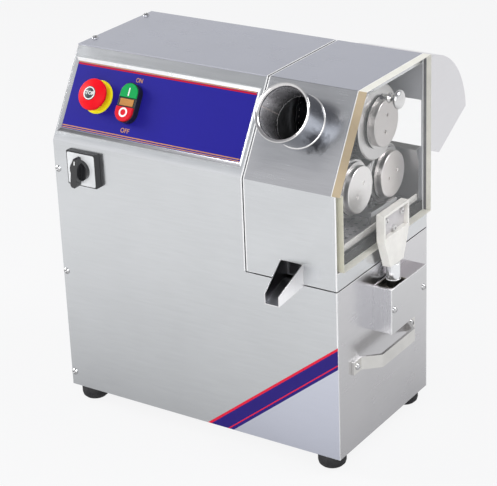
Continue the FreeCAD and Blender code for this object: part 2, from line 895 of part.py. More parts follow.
def roller_housing():
    """The right compartment's bent cover with its window frame and the guard's ledge."""
    high = TOP - D.sheet
    profile = [
        (FRONT, SEAM),
        (FRONT, BREAK),
        (slope_depth(TOP), TOP),
        (BACK, TOP),
        (BACK, high),
        (slope_depth(high, D.sheet), high),
        (INNER_FRONT, bend_height(D.sheet)),
        (INNER_FRONT, SEAM),
    ]
    skin = plate("YZ", profile, RIGHT_SKIN, SKIN_END)
    front_edge = plate("XZ", rectangle(SKIN_END - 1, SEAM, HALF, BREAK), FRONT, INNER_FRONT)
    side_strip = block((HALF - D.sheet, INNER_FRONT - 1, SEAM), (HALF, INNER_BACK, LEDGE))
    ledge = block((SKIN_END - D.sheet, INNER_FRONT - 1, LEDGE - D.sheet), (HALF, INNER_BACK, LEDGE))
    frame = plate("YZ", side_outline(D.sheet / 2, LEDGE - D.sheet), SKIN_END - D.sheet, SKIN_END)
    inset = D.sheet + D.window_border
    window_low, window_high = LEDGE + D.window_low, TOP - D.window_top
    window_outline = [
        (FRONT + inset, window_low),
        (FRONT + inset, bend_height(inset)),
        (slope_depth(window_high, inset), window_high),
        (BACK, window_high),
        (BACK, window_low),
    ]
    window = plate("YZ", window_outline, SKIN_END - 2 * D.sheet, SKIN_END + 1)
    behind = block((SKIN_END - 2 * D.sheet, INNER_BACK, BOTTOM), (SKIN_END + 1, BACK + 1, TOP - D.sheet))
    feed_hole = on_slope(
        turned([(0, -5), (D.feed_radius - D.feed_wall, -5), (D.feed_radius - D.feed_wall, 5), (0, 5)]),
        SKIN_END - D.feed_inset,
        D.feed_along,
    )
    shell = fuse(skin, front_edge, side_strip, ledge, cut(frame, window, behind))
    node("roller_housing", cut(shell, feed_hole, spout_notch()))


# ---------------------------------------------------------------- control panel

def lofted(body, kind, first, second):
    """A straight-sided loft between two sketches of a body."""
    loft = body.newObject(kind, "Loft")
    loft.Profile = first
    loft.Sections = [second]
    loft.Ruled = True
    return loft


def control_panel():
    """The shallow pan in the slope that carries the controls."""
    body = doc.addObject("PartDesign::Body", "Pan")
    floor = -D.pan_depth
    rim = new_sketch(body, "XY", 0)
    add_outline(rim, pan_rectangle(D.pan_rim, 0, 0))
    under = new_sketch(body, "XY", floor - D.sheet)
    add_outline(under, pan_rectangle(D.pan_rim, D.pan_bevel_side, D.pan_bevel_end))
    lofted(body, "PartDesign::AdditiveLoft", rim, under)
    mouth = new_sketch(body, "XY", 0)
    add_outline(mouth, pan_rectangle(0, 0, 0))
    face = new_sketch(body, "XY", floor)
    add_outline(face, pan_rectangle(0, D.pan_bevel_side, D.pan_bevel_end))
    lofted(body, "PartDesign::SubtractiveLoft", mouth, face)
    holes = new_sketch(body, "XY", floor)
    add_circle(holes, ESTOP_PLACE, D.estop_hole_radius)
    add_circle(holes, TWIN_PLACE, D.twin_hole_radius)
    pocket = body.newObject("PartDesign::Pocket", "Holes")
    pocket.Profile = holes
    bind(pocket, Length=2 * D.sheet)
    node("control_panel", on_slope(body))


def contact_block(depth, under):
    """The square contact block on a control's neck, behind the panel."""
    side = D.contact_block / 2
    return block((-side, -side, under - depth), (side, side, under - D.panel_neck + 2))


def emergency_stop():
    """The yellow collar with its contact block, the latching stem and the mushroom head."""
    floor = -D.pan_depth
    under = floor - D.sheet
    top = floor + D.estop_collar_height
    stem, pin = D.estop_stem_radius, D.estop_pin_radius
    neck = D.estop_hole_radius - D.screw_play
    bore_end = under - D.estop_bore_depth
    edge = D.chamfer
    collar = turned(
        [
            (0, under - D.panel_neck),
            (neck, under - D.panel_neck),
            (neck, floor),
            (D.estop_collar_radius, floor),
            (D.estop_collar_radius, top - edge),
            (D.estop_collar_radius - edge, top),
            (0, top),
        ]
    )
    contacts = contact_block(D.estop_block_depth, under)
    bore = rod("z", (0, 0, bore_end), top - bore_end + 1, stem + D.shaft_play)
    node("estop_body", on_slope(cut(fuse(collar, contacts), bore), *ESTOP_PLACE))
    head_low = top + D.estop_gap + D.estop_stroke
    pin_end = head_low + D.estop_pin_length
    plunger = turned(
        [
            (0, bore_end + D.estop_stroke + 1),
            (stem, bore_end + D.estop_stroke + 1),
            (stem, head_low),
            (pin, head_low),
            (pin, pin_end),
            (0, pin_end),
        ]
    )
    node("estop_plunger", on_slope(plunger, *ESTOP_PLACE))
    radius, foot = D.estop_head_radius, D.estop_head_foot
    socket = pin + D.shaft_play
    rise = D.estop_head_height - D.estop_rim_high
    crown = (radius * radius + rise * rise) / (2 * rise)
    head_top = head_low + D.estop_head_height
    profile = [
        (socket, head_low + D.shaft_play),
        (foot, head_low + D.shaft_play),
        ((foot + radius) / 2, head_low + D.estop_rim_low * 0.4),
        (radius, head_low + D.estop_rim_low),
        (radius, head_low + D.estop_rim_high - edge / 2),
    ]
    for share in (0.97, 0.9, 0.78, 0.62, 0.42, 0.2):
        reach = radius * share
        profile.append((reach, head_top - crown + root(crown * crown - reach * reach)))
    profile += [
        (0, head_top),
        (0, pin_end + D.estop_gap),
        (socket, pin_end + D.estop_gap),
    ]
    node("estop_mushroom", on_slope(turned(profile), *ESTOP_PLACE))


def stadium(length, width, low, high):
    """An upright slab with round ends, its length along the slope."""
    side = width / 2
    straight = length / 2 - side
    return fuse(
        block((-side, -straight, low), (side, straight, high)),
        rod("z", (0, -straight, low), high - low, side),
        rod("z", (0, straight, low), high - low, side),
    )


def twin_button():
    """The oval twin button: its body and lens, a green ON key and a red OFF key."""
    floor = -D.pan_depth
    under = floor - D.sheet
    top = floor + D.twin_height
    well = floor + D.key_floor
    place = TWIN_PLACE
    inner_length = D.twin_length - 2 * D.key_margin
    inner_width = D.twin_width - 2 * D.key_margin
    lens_half = D.lens_length / 2
    bridge_end = lens_half + D.lens_bridge
    play = D.key_play
    shell = stadium(D.twin_length, D.twin_width, floor, top)
    neck = rod("z", (0, 0, under - D.panel_neck), D.panel_neck + D.sheet + 1, D.twin_hole_radius - D.screw_play)
    wells = stadium(inner_length, inner_width, well, top + 1)
    side = inner_width / 2
    bridge_side = side + D.key_margin / 2
    bridge = block((-bridge_side, -bridge_end, well - 1), (bridge_side, bridge_end, top))
    lens_side = D.lens_width / 2
    lens_outline = rectangle(-lens_side, -lens_half, lens_side, lens_half)
    lens_seat = plate("XY", lens_outline, top - D.lens_depth, top + 1)
    contacts = contact_block(D.twin_block_depth, under)
    body = cut(fuse(cut(shell, wells), bridge, neck, contacts), lens_seat)
    lens = plate("XY", lens_outline, top - D.lens_depth, top + D.lens_rise)
    node("button_body", group([on_slope(body, *place), on_slope(lens, *place)]))
    for label, up_slope, rise in (
        ("on_button", True, D.on_key_rise),
        ("off_button", False, D.off_key_rise),
    ):
        slab = stadium(
            inner_length - 2 * play, inner_width - 2 * play, well + D.key_stroke + play, top + rise
        )
        near, far = bridge_end + play, D.twin_length
        low, high = (near, far) if up_slope else (-far, -near)
        half = block((-D.twin_width, low, well), (D.twin_width, high, top + rise + 1))
        node(label, on_slope(common(slab, half), *place))


def rotary_switch():
    """The cam switch with its square plate, and its knob with a grip bar."""
    across, height = ROTARY_PLACE
    side = D.rotary_plate / 2
    face = FRONT - D.rotary_plate_depth
    plate_block = block((across - side, face, height - side), (across + side, FRONT, height + side))
    neck = rod("y", (across, FRONT - 1, height), D.sheet + 2, D.rotary_shaft_radius + D.sheet / 2)
    side = D.rotary_block / 2
    rear = block(
        (across - side, INNER_FRONT, height - side),
        (across + side, INNER_FRONT + D.rotary_block_depth, height + side),
    )
    bore_end = INNER_FRONT + D.rotary_bore_depth
    bore = rod("y", (across, face - 1, height), bore_end + 1 - face, D.rotary_shaft_radius)
    shaft_radius = D.rotary_shaft_radius - D.shaft_play
    node("rotary_switch_body", cut(fuse(plate_block, neck, rear), bore))
    disc_back = face - D.rotary_knob_gap
    disc_front = disc_back - D.rotary_knob_depth
    grip_front = disc_front - D.rotary_grip_depth
    shaft = rod("y", (0, disc_back - 1, 0), bore_end - disc_back, shaft_radius)
    disc = rod("y", (0, disc_front, 0), D.rotary_knob_depth, D.rotary_knob_radius)
    half_length, half_width = D.rotary_grip_length / 2, D.rotary_grip_width / 2
    grip_outline = [
        (-half_width, half_length * 0.55),
        (-half_width, half_width - half_length),
        (-half_width * 0.87, half_width * 0.5 - half_length),
        (-half_width * 0.5, half_width * 0.13 - half_length),
        (half_width * 0.5, half_width * 0.13 - half_length),
        (half_width * 0.87, half_width * 0.5 - half_length),
        (half_width, half_width - half_length),
        (half_width, half_length * 0.55),
        (half_width * 0.4, half_length * 0.95),
        (-half_width * 0.4, half_length * 0.95),
    ]
    grip = plate("XZ", grip_outline, grip_front, disc_front + 1)
    knob = fuse(shaft, disc, grip)
    knob.Placement = FreeCAD.Placement(FreeCAD.Vector(), FreeCAD.Rotation(FreeCAD.Vector(0, 1, 0), 1))
    bind(knob, Placement__Rotation__Angle=D.rotary_tilt)
    node("switch_knob", move(knob, across, 0, height))


# ---------------------------------------------------------------- juice path

def feed_tube():
    """The cane inlet: a tube square to the slope with a rolled lip and a weld bead."""
    inner, outer = D.feed_radius - D.feed_wall, D.feed_radius
    end, lip = D.feed_length, D.feed_lip_radius
    lip_start = end - D.feed_lip_length
    profile = [
        (inner, 0),
        (outer + D.feed_weld, 0),
        (outer, D.feed_weld),
        (outer, lip_start - 3.0),
        (lip, lip_start + 1.0),
        (lip, end - 1.2),
        (lip - 1.2, end),
        (inner + 1.2, end),
        (inner, end - 1.2),
    ]
    node("feed_tube", on_slope(turned(profile), SKIN_END - D.feed_inset, D.feed_along))


def spout_section(body, depth, middle, width, low, high):
    """A rectangular spout section on an upright plane at a depth."""
    section = new_sketch(body, "XZ", -depth)
    add_outline(section, rectangle(middle - width / 2, low, middle + width / 2, high))
    return section


def juice_spout():
    """The folded open trough that carries the juice out through the front."""
    body = doc.addObject("PartDesign::Body", "Spout")
    low, high = SPOUT_LOW, SPOUT_HIGH
    tip_low = low - D.spout_tip_drop
    tip_high = tip_low + D.spout_tip_height
    tip_middle = SPOUT_ACROSS + D.spout_tip_shift
    tip = FRONT - D.spout_reach
    root = spout_section(body, FRONT, SPOUT_ACROSS, D.spout_width, low, high)
    end = spout_section(body, tip, tip_middle, D.spout_tip_width, tip_low, tip_high)
    lofted(body, "PartDesign::AdditiveLoft", root, end)
    inner_end = FRONT + D.tray_front_gap
    behind = spout_section(body, inner_end, SPOUT_ACROSS, D.spout_width, low, high)
    pad = body.newObject("PartDesign::Pad", "Throat")
    pad.Profile = behind
    bind(pad, Length=inner_end - FRONT)
    two_walls = 2 * D.sheet
    root = spout_section(
        body, FRONT, SPOUT_ACROSS, D.spout_width - two_walls, low + D.sheet, high + 4
    )
    end = spout_section(
        body, tip, tip_middle, D.spout_tip_width - two_walls, tip_low + D.sheet, tip_high + 4
    )
    lofted(body, "PartDesign::SubtractiveLoft", root, end)
    throat = spout_section(
        body, inner_end, SPOUT_ACROSS, D.spout_width - two_walls, low + D.sheet, high + 4
    )
    pocket = body.newObject("PartDesign::Pocket", "ThroatHollow")
    pocket.Profile = throat
    pocket.Reversed = True
    bind(pocket, Length=inner_end - FRONT)
    node("juice_spout", body)


def juice_tray():
    """The tray below the rollers, whose floor falls to the outlet at the spout."""
    front, back = FRONT + D.tray_front_gap, INNER_BACK - D.tray_back_gap
    left, right = CHAMBER_PLATE[1], TRAY_RIGHT
    rim = TRAY_RIM
    low_front, low_back = TRAY_LOW, TRAY_RIM - D.tray_depth_back
    outer = plate("YZ", [(front, low_front), (front, rim), (back, rim), (back, low_back)], left, right)
    wall = D.sheet
    inside = [
        (front + wall, low_front + wall),
        (front + wall, rim + 1),
        (back - wall, rim + 1),
        (back - wall, low_back + wall),
    ]
    hollow = plate("YZ", inside, left + wall, right - wall)
    rail_high = rim + D.tray_rail_rise
    rail_low = rail_high - D.tray_rail_height
    rail = block((right - D.tray_rim_width, front, rail_low), (right, back, rail_high))
    half = D.outlet_width / 2
    outlet = block(
        (SPOUT_ACROSS - half, front - 1, low_front + wall),
        (SPOUT_ACROSS + half, front + wall + 1, low_front + wall + D.outlet_height),
    )
    node("juice_tray", cut(fuse(cut(outer, hollow), rail), outlet))


def strainer_plate():
    """The perforated plate that lies in the tray."""
    play = D.strainer_play
    front = FRONT + D.tray_front_gap + D.sheet + play
    back = INNER_BACK - D.tray_back_gap - D.sheet - play
    left = CHAMBER_PLATE[1] + D.sheet + play
    right = TRAY_RIGHT - D.tray_rim_width - play
    low = TRAY_RIM - D.strainer_drop
    body = plate("XY", rectangle(left, front, right, back), low, low + D.strainer_thickness)
    margin, pitch = D.strainer_margin, D.strainer_pitch
    hole = new_sketch(body, "XY", low + D.strainer_thickness)
    add_circle(hole, (left + margin, front + margin), D.strainer_hole_radius)
    pocket = body.newObject("PartDesign::Pocket", "FirstHole")
    pocket.Profile = hole
    bind(pocket, Length=D.strainer_thickness)
    doc.recompute()
    grid = body.newObject("PartDesign::MultiTransform", "Holes")
    grid.Originals = [pocket]
    rows = []
    for axis, reach in (("H_Axis", right - left), ("V_Axis", back - front)):
        line = doc.addObject("PartDesign::LinearPattern", "Row")
        count = int((reach.value - 2 * margin.value) // pitch.value)
        line.Direction = (hole, [axis])
        line.Occurrences = count + 1
        bind(line, Length=pitch * count)
        rows.append(line)
    grid.Transformations = rows
    body.Tip = grid
    node("strainer_plate", body)


def polar(axis, radius, angle, side=1):
    """The point at a radius and angle about an axis; side -1 mirrors it to the front."""
    return (axis[0] + side * radius * cosine(angle), axis[1] + radius * sine(angle))


def roller_scrapers():
    """The scraper carrier, its two blades and the bar that turns the cane between the nips."""
    middle = (FRONT_AXIS[0] + REAR_AXIS[0]) / 2
    low = TRAY_RIM + D.scraper_rise
    high = low + D.scraper_height
    half = D.scraper_width / 2
    start = CHAMBER_PLATE[1]
    yoke = LOWER_CAP_FACE + D.scraper_yoke_gap
    bar = block((start, middle - half, low), (yoke + 1, middle + half, high))
    fall = D.scraper_width / 6
    yoke_front = middle - D.scraper_yoke_shift
    yoke_outline = [
        (yoke_front, low),
        (yoke_front + D.scraper_yoke_length, low - fall),
        (yoke_front + D.scraper_yoke_length, high),
        (yoke_front, high + fall),
    ]
    end_plate = plate("YZ", yoke_outline, yoke, yoke + D.scraper_yoke_thickness)
    near = D.lower_roller_radius + D.scraper_gap
    far = near + D.scraper_blade
    end = LOWER_CAP_FACE - D.cap_thickness - D.boss_length
    pieces = [fuse(bar, end_plate)]
    for axis, side in ((FRONT_AXIS, 1), (REAR_AXIS, -1)):
        outline = [
            (middle - side * half * 0.9, high),
            (middle - side * half * 0.4, high),
            polar(axis, far, -D.scraper_angle, side),
            polar(axis, near, -D.scraper_angle, side),
        ]
        pieces.append(plate("YZ", outline, start + D.roller_start_gap, end))
    reach = D.lower_roller_radius + D.turner_clearance
    turner = [
        polar(FRONT_AXIS, reach, D.turner_front_angle),
        (middle + D.sheet, REAR_AXIS[1] + D.turner_low_rise),
        polar(REAR_AXIS, reach, D.turner_back_angle, -1),
    ]
    pieces.append(plate("YZ", turner, start, end))
    node("roller_scrapers", group(pieces))


def bagasse_chute():
    """The bent sheet that leads the pressed cane from the rear nip to the hatch."""
    lip = polar(REAR_AXIS, D.chute_lip_radius, D.chute_lip_angle)
    wall = INNER_BACK - D.chute_wall_gap
    knee = REAR_AXIS[1] + D.chute_knee_rise
    foot = TRAY_RIM + D.chute_foot_gap
    hatch = HATCH_LOW
    thickness = D.sheet
    outline = [
        lip,
        (wall - thickness, knee),
        (wall - thickness, foot),
        (wall, foot),
        (wall, knee + 1),
        (lip[0] + thickness + 1, lip[1] - thickness * 0.4),
        (INNER_BACK, hatch - thickness),
        (INNER_BACK, hatch),
    ]
    node("bagasse_chute", plate("YZ", outline, CHAMBER_PLATE[1], SKIN_END - 2 * D.sheet))


def outlet_hood():
    """The curved hood over the outlet hatch, open at its mouth below."""
    left, right = CHAMBER_PLATE[1], SKIN_END
    wall, radius = D.sheet, D.hood_radius
    start, lip = HATCH_LOW - D.hood_floor_drop, HATCH_LOW - D.hood_lip_drop
    lip_depth = BACK + D.hood_lip_depth
    middle = (left, BACK + D.hood_centre_depth, TOP - D.hood_top_drop - radius)
    far = D.hood_centre_depth + radius + 1
    mouth_end = lip + (far - D.hood_lip_depth) * tangent(D.hood_mouth_angle)
    outline = [
        (BACK, TOP + 1),
        (BACK, start),
        (lip_depth, lip),
        (BACK + far, mouth_end),
        (BACK + far, TOP + 1),
    ]
    outer = common(plate("YZ", outline, left, right), rod("x", middle, right - left, radius))
    fall = (start - lip) / D.hood_lip_depth
    past = D.hood_lip
    hollow_outline = [
        (BACK - 1, TOP + 1),
        (BACK - 1, start + fall + wall),
        (lip_depth + past, lip - past * fall + wall),
        (BACK + far, mouth_end - past),
        (BACK + far, TOP + 1),
    ]
    hollow = common(
        plate("YZ", hollow_outline, left + wall, right - wall),
        rod("x", middle, right - left, radius - wall),
    )
    node("outlet_hood", cut(outer, hollow))


# ---------------------------------------------------------------- gear case

BEARINGS = [
    (DRIVE_PLATE, TOP_AXIS, D.top_bearing_radius, D.top_shaft_radius),
    (CHAMBER_PLATE, TOP_AXIS, D.top_bearing_radius, D.top_shaft_radius),
    (DRIVE_PLATE, FRONT_AXIS, D.lower_bearing_radius, D.lower_shaft_radius),
    (CHAMBER_PLATE, FRONT_AXIS, D.lower_bearing_radius, D.lower_shaft_radius),
    (DRIVE_PLATE, REAR_AXIS, D.lower_bearing_radius, D.lower_shaft_radius),
    (CHAMBER_PLATE, REAR_AXIS, D.lower_bearing_radius, D.lower_shaft_radius),
    (DRIVE_PLATE, COUNTER_AXIS, D.counter_bearing_radius, D.counter_shaft_radius),
    (OUTBOARD, COUNTER_AXIS, D.counter_bearing_radius, D.counter_shaft_radius),
]


def carrier_plates():
    """The three upright plates that carry the bearings, and the rods that space them."""
    for label, station, inset in (
        ("chamber_plate", CHAMBER_PLATE, D.sheet + D.seam_gap / 2),
        ("drive_plate", DRIVE_PLATE, D.plate_inset),
        ("outboard_plate", OUTBOARD, D.plate_inset),
    ):
        holes = [(axis, radius) for place, axis, radius, _ in BEARINGS if place is station]
        if station is OUTBOARD:
            holes.append((TOP_AXIS, D.top_shaft_radius + D.outboard_gap))
        node(label, plate("YZ", side_outline(inset, BASE_TOP), *station, holes))
    rods = []
    margin = D.plate_inset + D.spacer_radius + 2
    places = [
        (FRONT + margin, D.spacer_low),
        (BACK - margin, D.spacer_low),
        (FRONT + margin, D.top_axis_height - D.spacer_drop),
        (BACK - margin, D.top_axis_height - D.spacer_drop),
        (BACK - margin, TOP - margin),
    ]
    for left, right in ((OUTBOARD, DRIVE_PLATE), (DRIVE_PLATE, CHAMBER_PLATE)):
        for place in places:
            rods.append(rod("x", (left[1], *place), right[0] - left[1], D.spacer_radius))
    node("plate_spacers", group(rods))


def bearings():
    """The ball bearings in the plates, each as one ring."""
    rings = []
    for station, axis, outer, shaft in BEARINGS:
        width = station[1] - station[0]
        profile = ring(shaft + D.bore_fit, outer - D.bearing_fit, 0, width)
        rings.append(turned(profile, "x", (station[0], *axis)))
    node("ball_bearings", group(rings))


ALONG_X = FreeCAD.Rotation(FreeCAD.Vector(1, 1, 1), 120)


def toothed_disc(teeth, width, bore):
    """An involute spur gear over the XY plane with a tooth on the X axis."""
    builder = fcgear.FCWireBuilder()
    involute.CreateExternalGear(
        builder,
        D.gear_module.value,
        int(teeth.value),
        D.pressure_angle.value,
        split=True,
        shiftCoeff=-D.tooth_thinning.value,
    )
    rim = Part.Wire([curve.toShape() for curve in builder.wire])
    disc = Part.Face(rim).extrude(FreeCAD.Vector(0, 0, width.value))
    hole = Part.makeCylinder(bore.value, width.value)
    return disc.cut(hole)


def gear(label, teeth, width, bore, station, axis, turn):
    """A gear about an axis along X, turned by an angle from +Y towards +Z."""
    thing = doc.addObject("Part::Feature", "Gear")
    thing.Shape = toothed_disc(teeth, width, bore)
    spin = FreeCAD.Rotation(FreeCAD.Vector(0, 0, 1), turn)
    thing.Placement = FreeCAD.Placement(FreeCAD.Vector(), ALONG_X.multiply(spin))
    move(thing, station, *axis)
    return node(label, thing) if label else thing


def meshing_turn(teeth, follower_teeth, axis, follower_axis):
    """The follower's turn that puts a gap where the first gear, unturned, has a tooth."""
    direction = math.degrees(
        math.atan2(
            follower_axis[1].value - axis[1].value,
            follower_axis[0].value - axis[0].value,
        )
    )
    pitch, follower_pitch = 360 / teeth.value, 360 / follower_teeth.value
    phase = (direction / pitch) % 1
    return direction + 180 + (phase - 0.5) * follower_pitch


# ---------------------------------------------------------------- rollers

def shaft_profile(start, end, radius):
    """A roller shaft, from its left end to the stub inside the end cap.

    Places run from the shaft's own start.
    """
    collar_start = CHAMBER_PLATE[1] + D.shaft_collar_gap - start
    collar_end = CHAMBER_PLATE[1] + D.roller_start_gap - start
    stub_start = end - start
    return [
        (0, 0),
        (radius - 1, 0),
        (radius, 1),
        (radius, collar_start),
        (D.collar_radius, collar_start),
        (D.collar_radius, collar_end),
        (radius, collar_end),
        (radius, stub_start),
        (D.stub_radius, stub_start),
        (D.stub_radius, stub_start + D.stub_length),
        (0, stub_start + D.stub_length),
    ]


def roller(label, axis, radius, shaft, end):
    """A grooved roller sleeve with a smooth rim and a boss for its cap."""
    start = CHAMBER_PLATE[1] + D.roller_start_gap
    length = end - start
    face = length - D.boss_length
    edge = D.chamfer
    profile = [
        (shaft + D.bore_fit, 0),
        (radius - edge, 0),
        (radius, edge),
        (radius, face - edge),
        (radius - edge, face),
        (D.boss_radius, face),
        (D.boss_radius, length),
        (shaft + D.bore_fit, length),
    ]
    body = turned(profile, "x", (start, *axis))
    doc.recompute()
    groove = new_sketch(body, "XY", D.groove_margin)
    half = D.groove_width / 2
    add_outline(groove, rectangle(radius - D.groove_depth, -half, radius + 1, half))
    pocket = body.newObject("PartDesign::Pocket", "Groove")
    pocket.Profile = groove
    pocket.Reversed = True
    bind(pocket, Length=face - 2 * D.groove_margin)
    doc.recompute()
    grooves = body.newObject("PartDesign::PolarPattern", "Grooves")
    grooves.Originals = [pocket]
    grooves.Axis = (groove, ["N_Axis"])
    grooves.Angle = 360
    bind(grooves, Occurrences=D.roller_grooves)
    body.Tip = grooves
    node(label, body)


def end_cap(label, axis, face, turn):
    """A round screw cap with two holes for a pin spanner."""
    start = face - D.cap_thickness
    radius, edge = D.cap_radius, D.chamfer / 2
    depth = D.cap_thickness
    profile = [
        (0, D.stub_length),
        (D.stub_radius + D.bore_fit, D.stub_length),
        (D.stub_radius + D.bore_fit, 0),
        (radius, 0),
        (radius, depth - edge),
        (radius - edge, depth),
        (0, depth),
    ]
    body = turned(profile, "x", (start, *axis))
    pins = new_sketch(body, "XY", depth)
    for sign in (-1, 1):
        reach = sign * D.cap_pin_spread
        add_circle(pins, (-reach * sine(turn), reach * cosine(turn)), D.cap_pin_radius)
    pocket = body.newObject("PartDesign::Pocket", "PinHoles")
    pocket.Profile = pins
    bind(pocket, Length=D.cap_pin_depth)
    node(label, body)


def rollers():
    """The three rollers with their shafts, caps and meshing gears."""
    top_end = TOP_CAP_FACE - D.cap_thickness
    low_end = LOWER_CAP_FACE - D.cap_thickness
    top_start = MAIN_GEAR[0] - D.shaft_end
    low_start = DRIVE_PLATE[0] - D.shaft_end
    lower_turns = {
        "front": meshing_turn(D.top_gear_teeth, D.lower_gear_teeth, TOP_AXIS, FRONT_AXIS),
        "rear": meshing_turn(D.top_gear_teeth, D.lower_gear_teeth, TOP_AXIS, REAR_AXIS),
    }
    top_profile = shaft_profile(top_start, top_end, D.top_shaft_radius)
    node("top_shaft", turned(top_profile, "x", (top_start, *TOP_AXIS)))
    roller("top_roller", TOP_AXIS, D.top_roller_radius, D.top_shaft_radius, top_end)
    end_cap("top_roller_cap", TOP_AXIS, TOP_CAP_FACE, D.top_cap_turn)
    gear_bore = D.top_shaft_radius + D.bore_fit
    gear("top_roller_gear", D.top_gear_teeth, D.gear_width, gear_bore, ROLLER_GEARS[0], TOP_AXIS, 0)
    gear("main_gear", D.main_gear_teeth, D.main_gear_width, gear_bore, MAIN_GEAR[0], TOP_AXIS, 0)
    low_profile = shaft_profile(low_start, low_end, D.lower_shaft_radius)
    gear_bore = D.lower_shaft_radius + D.bore_fit
    for name, axis, turn in (
        ("front", FRONT_AXIS, D.front_cap_turn),
        ("rear", REAR_AXIS, D.rear_cap_turn),
    ):
        node(f"{name}_shaft", turned(low_profile, "x", (low_start, *axis)))
        roller(f"{name}_roller", axis, D.lower_roller_radius, D.lower_shaft_radius, low_end)
        end_cap(f"{name}_roller_cap", axis, LOWER_CAP_FACE, turn)
        gear(
            f"{name}_roller_gear",
            D.lower_gear_teeth,
            D.gear_width,
            gear_bore,
            ROLLER_GEARS[0],
            axis,
            lower_turns[name],
        )


# ---------------------------------------------------------------- drive

def pulley_profile(radius, bore):
    """A grooved pulley's section."""
    width = D.pulley_width
    floor = radius - D.pulley_groove_depth
    middle = width / 2
    return [
        (bore, 0),
        (radius, 0),
        (radius, middle - D.pulley_groove_width / 2),
        (floor, middle - D.pulley_groove_floor / 2),
        (floor, middle + D.pulley_groove_floor / 2),
        (radius, middle + D.pulley_groove_width / 2),
        (radius, width),
        (bore, width),
    ]


def countershaft():
    """The countershaft with its cut pinion, and the large pulley on it."""
    start, end = PULLEYS[0] - 2, DRIVE_PLATE[1] + 1
    radius = D.counter_shaft_radius
    length = end - start
    shaft = turned(
        [(0, 0), (radius - 1, 0), (radius, 1), (radius, length - 1), (radius - 1, length), (0, length)],
        "x",
        (start, *COUNTER_AXIS),
    )
    turn = meshing_turn(D.main_gear_teeth, D.pinion_teeth, TOP_AXIS, COUNTER_AXIS)
    pinion = gear("", D.pinion_teeth, D.main_gear_width, radius - 1, MAIN_GEAR[0], COUNTER_AXIS, turn)
    node("pinion_shaft", fuse(shaft, pinion))
    profile = pulley_profile(D.big_pulley_radius, radius + D.bore_fit)
    node("large_pulley", turned(profile, "x", (PULLEYS[0], *COUNTER_AXIS)))


def drive_belt():
    """The V-belt around both pulleys, swept along its inner line."""
    radii = [
        size.value - D.pulley_groove_depth.value + D.belt_gap.value
        for size in (D.small_pulley_radius, D.big_pulley_radius)
    ]
    middle = (PULLEYS[0] + D.pulley_width / 2).value
    centres = [
        FreeCAD.Vector(middle, axis[0].value, axis[1].value) for axis in (MOTOR_AXIS, COUNTER_AXIS)
    ]
    along = centres[1] - centres[0]
    distance = along.Length
    along.normalize()
    across = FreeCAD.Vector(1, 0, 0).cross(along)
    lean = (radii[0] - radii[1]) / distance
    spread = math.sqrt(1 - lean * lean)
    sides = [along * lean + across * (spread * side) for side in (1, -1)]
    small, big = centres
    corners = [
        small + sides[0] * radii[0],
        big + sides[0] * radii[1],
        big + sides[1] * radii[1],
        small + sides[1] * radii[0],
    ]
    path = Part.Wire(
        [
            Part.LineSegment(corners[0], corners[1]).toShape(),
            Part.Arc(corners[1], big + along * radii[1], corners[2]).toShape(),
            Part.LineSegment(corners[2], corners[3]).toShape(),
            Part.Arc(corners[3], small - along * radii[0], corners[0]).toShape(),
        ]
    )
    slope = (D.pulley_groove_width - D.pulley_groove_floor) / 2 / D.pulley_groove_depth
    inner = (D.pulley_groove_floor / 2 + D.belt_gap * slope - D.belt_side_play).value
    outer = inner + (D.belt_height * slope).value
    outward = sides[0]
    sideways = FreeCAD.Vector(1, 0, 0)
    start = corners[0]
    top = start + outward * D.belt_height.value
    section = Part.makePolygon(
        [
            start - sideways * inner,
            start + sideways * inner,
            top + sideways * outer,
            top - sideways * outer,
            start - sideways * inner,
        ]
    )
    belt = doc.addObject("Part::Feature", "Belt")
    belt.Shape = path.makePipeShell([section], True, True)
    node("drive_belt", belt)


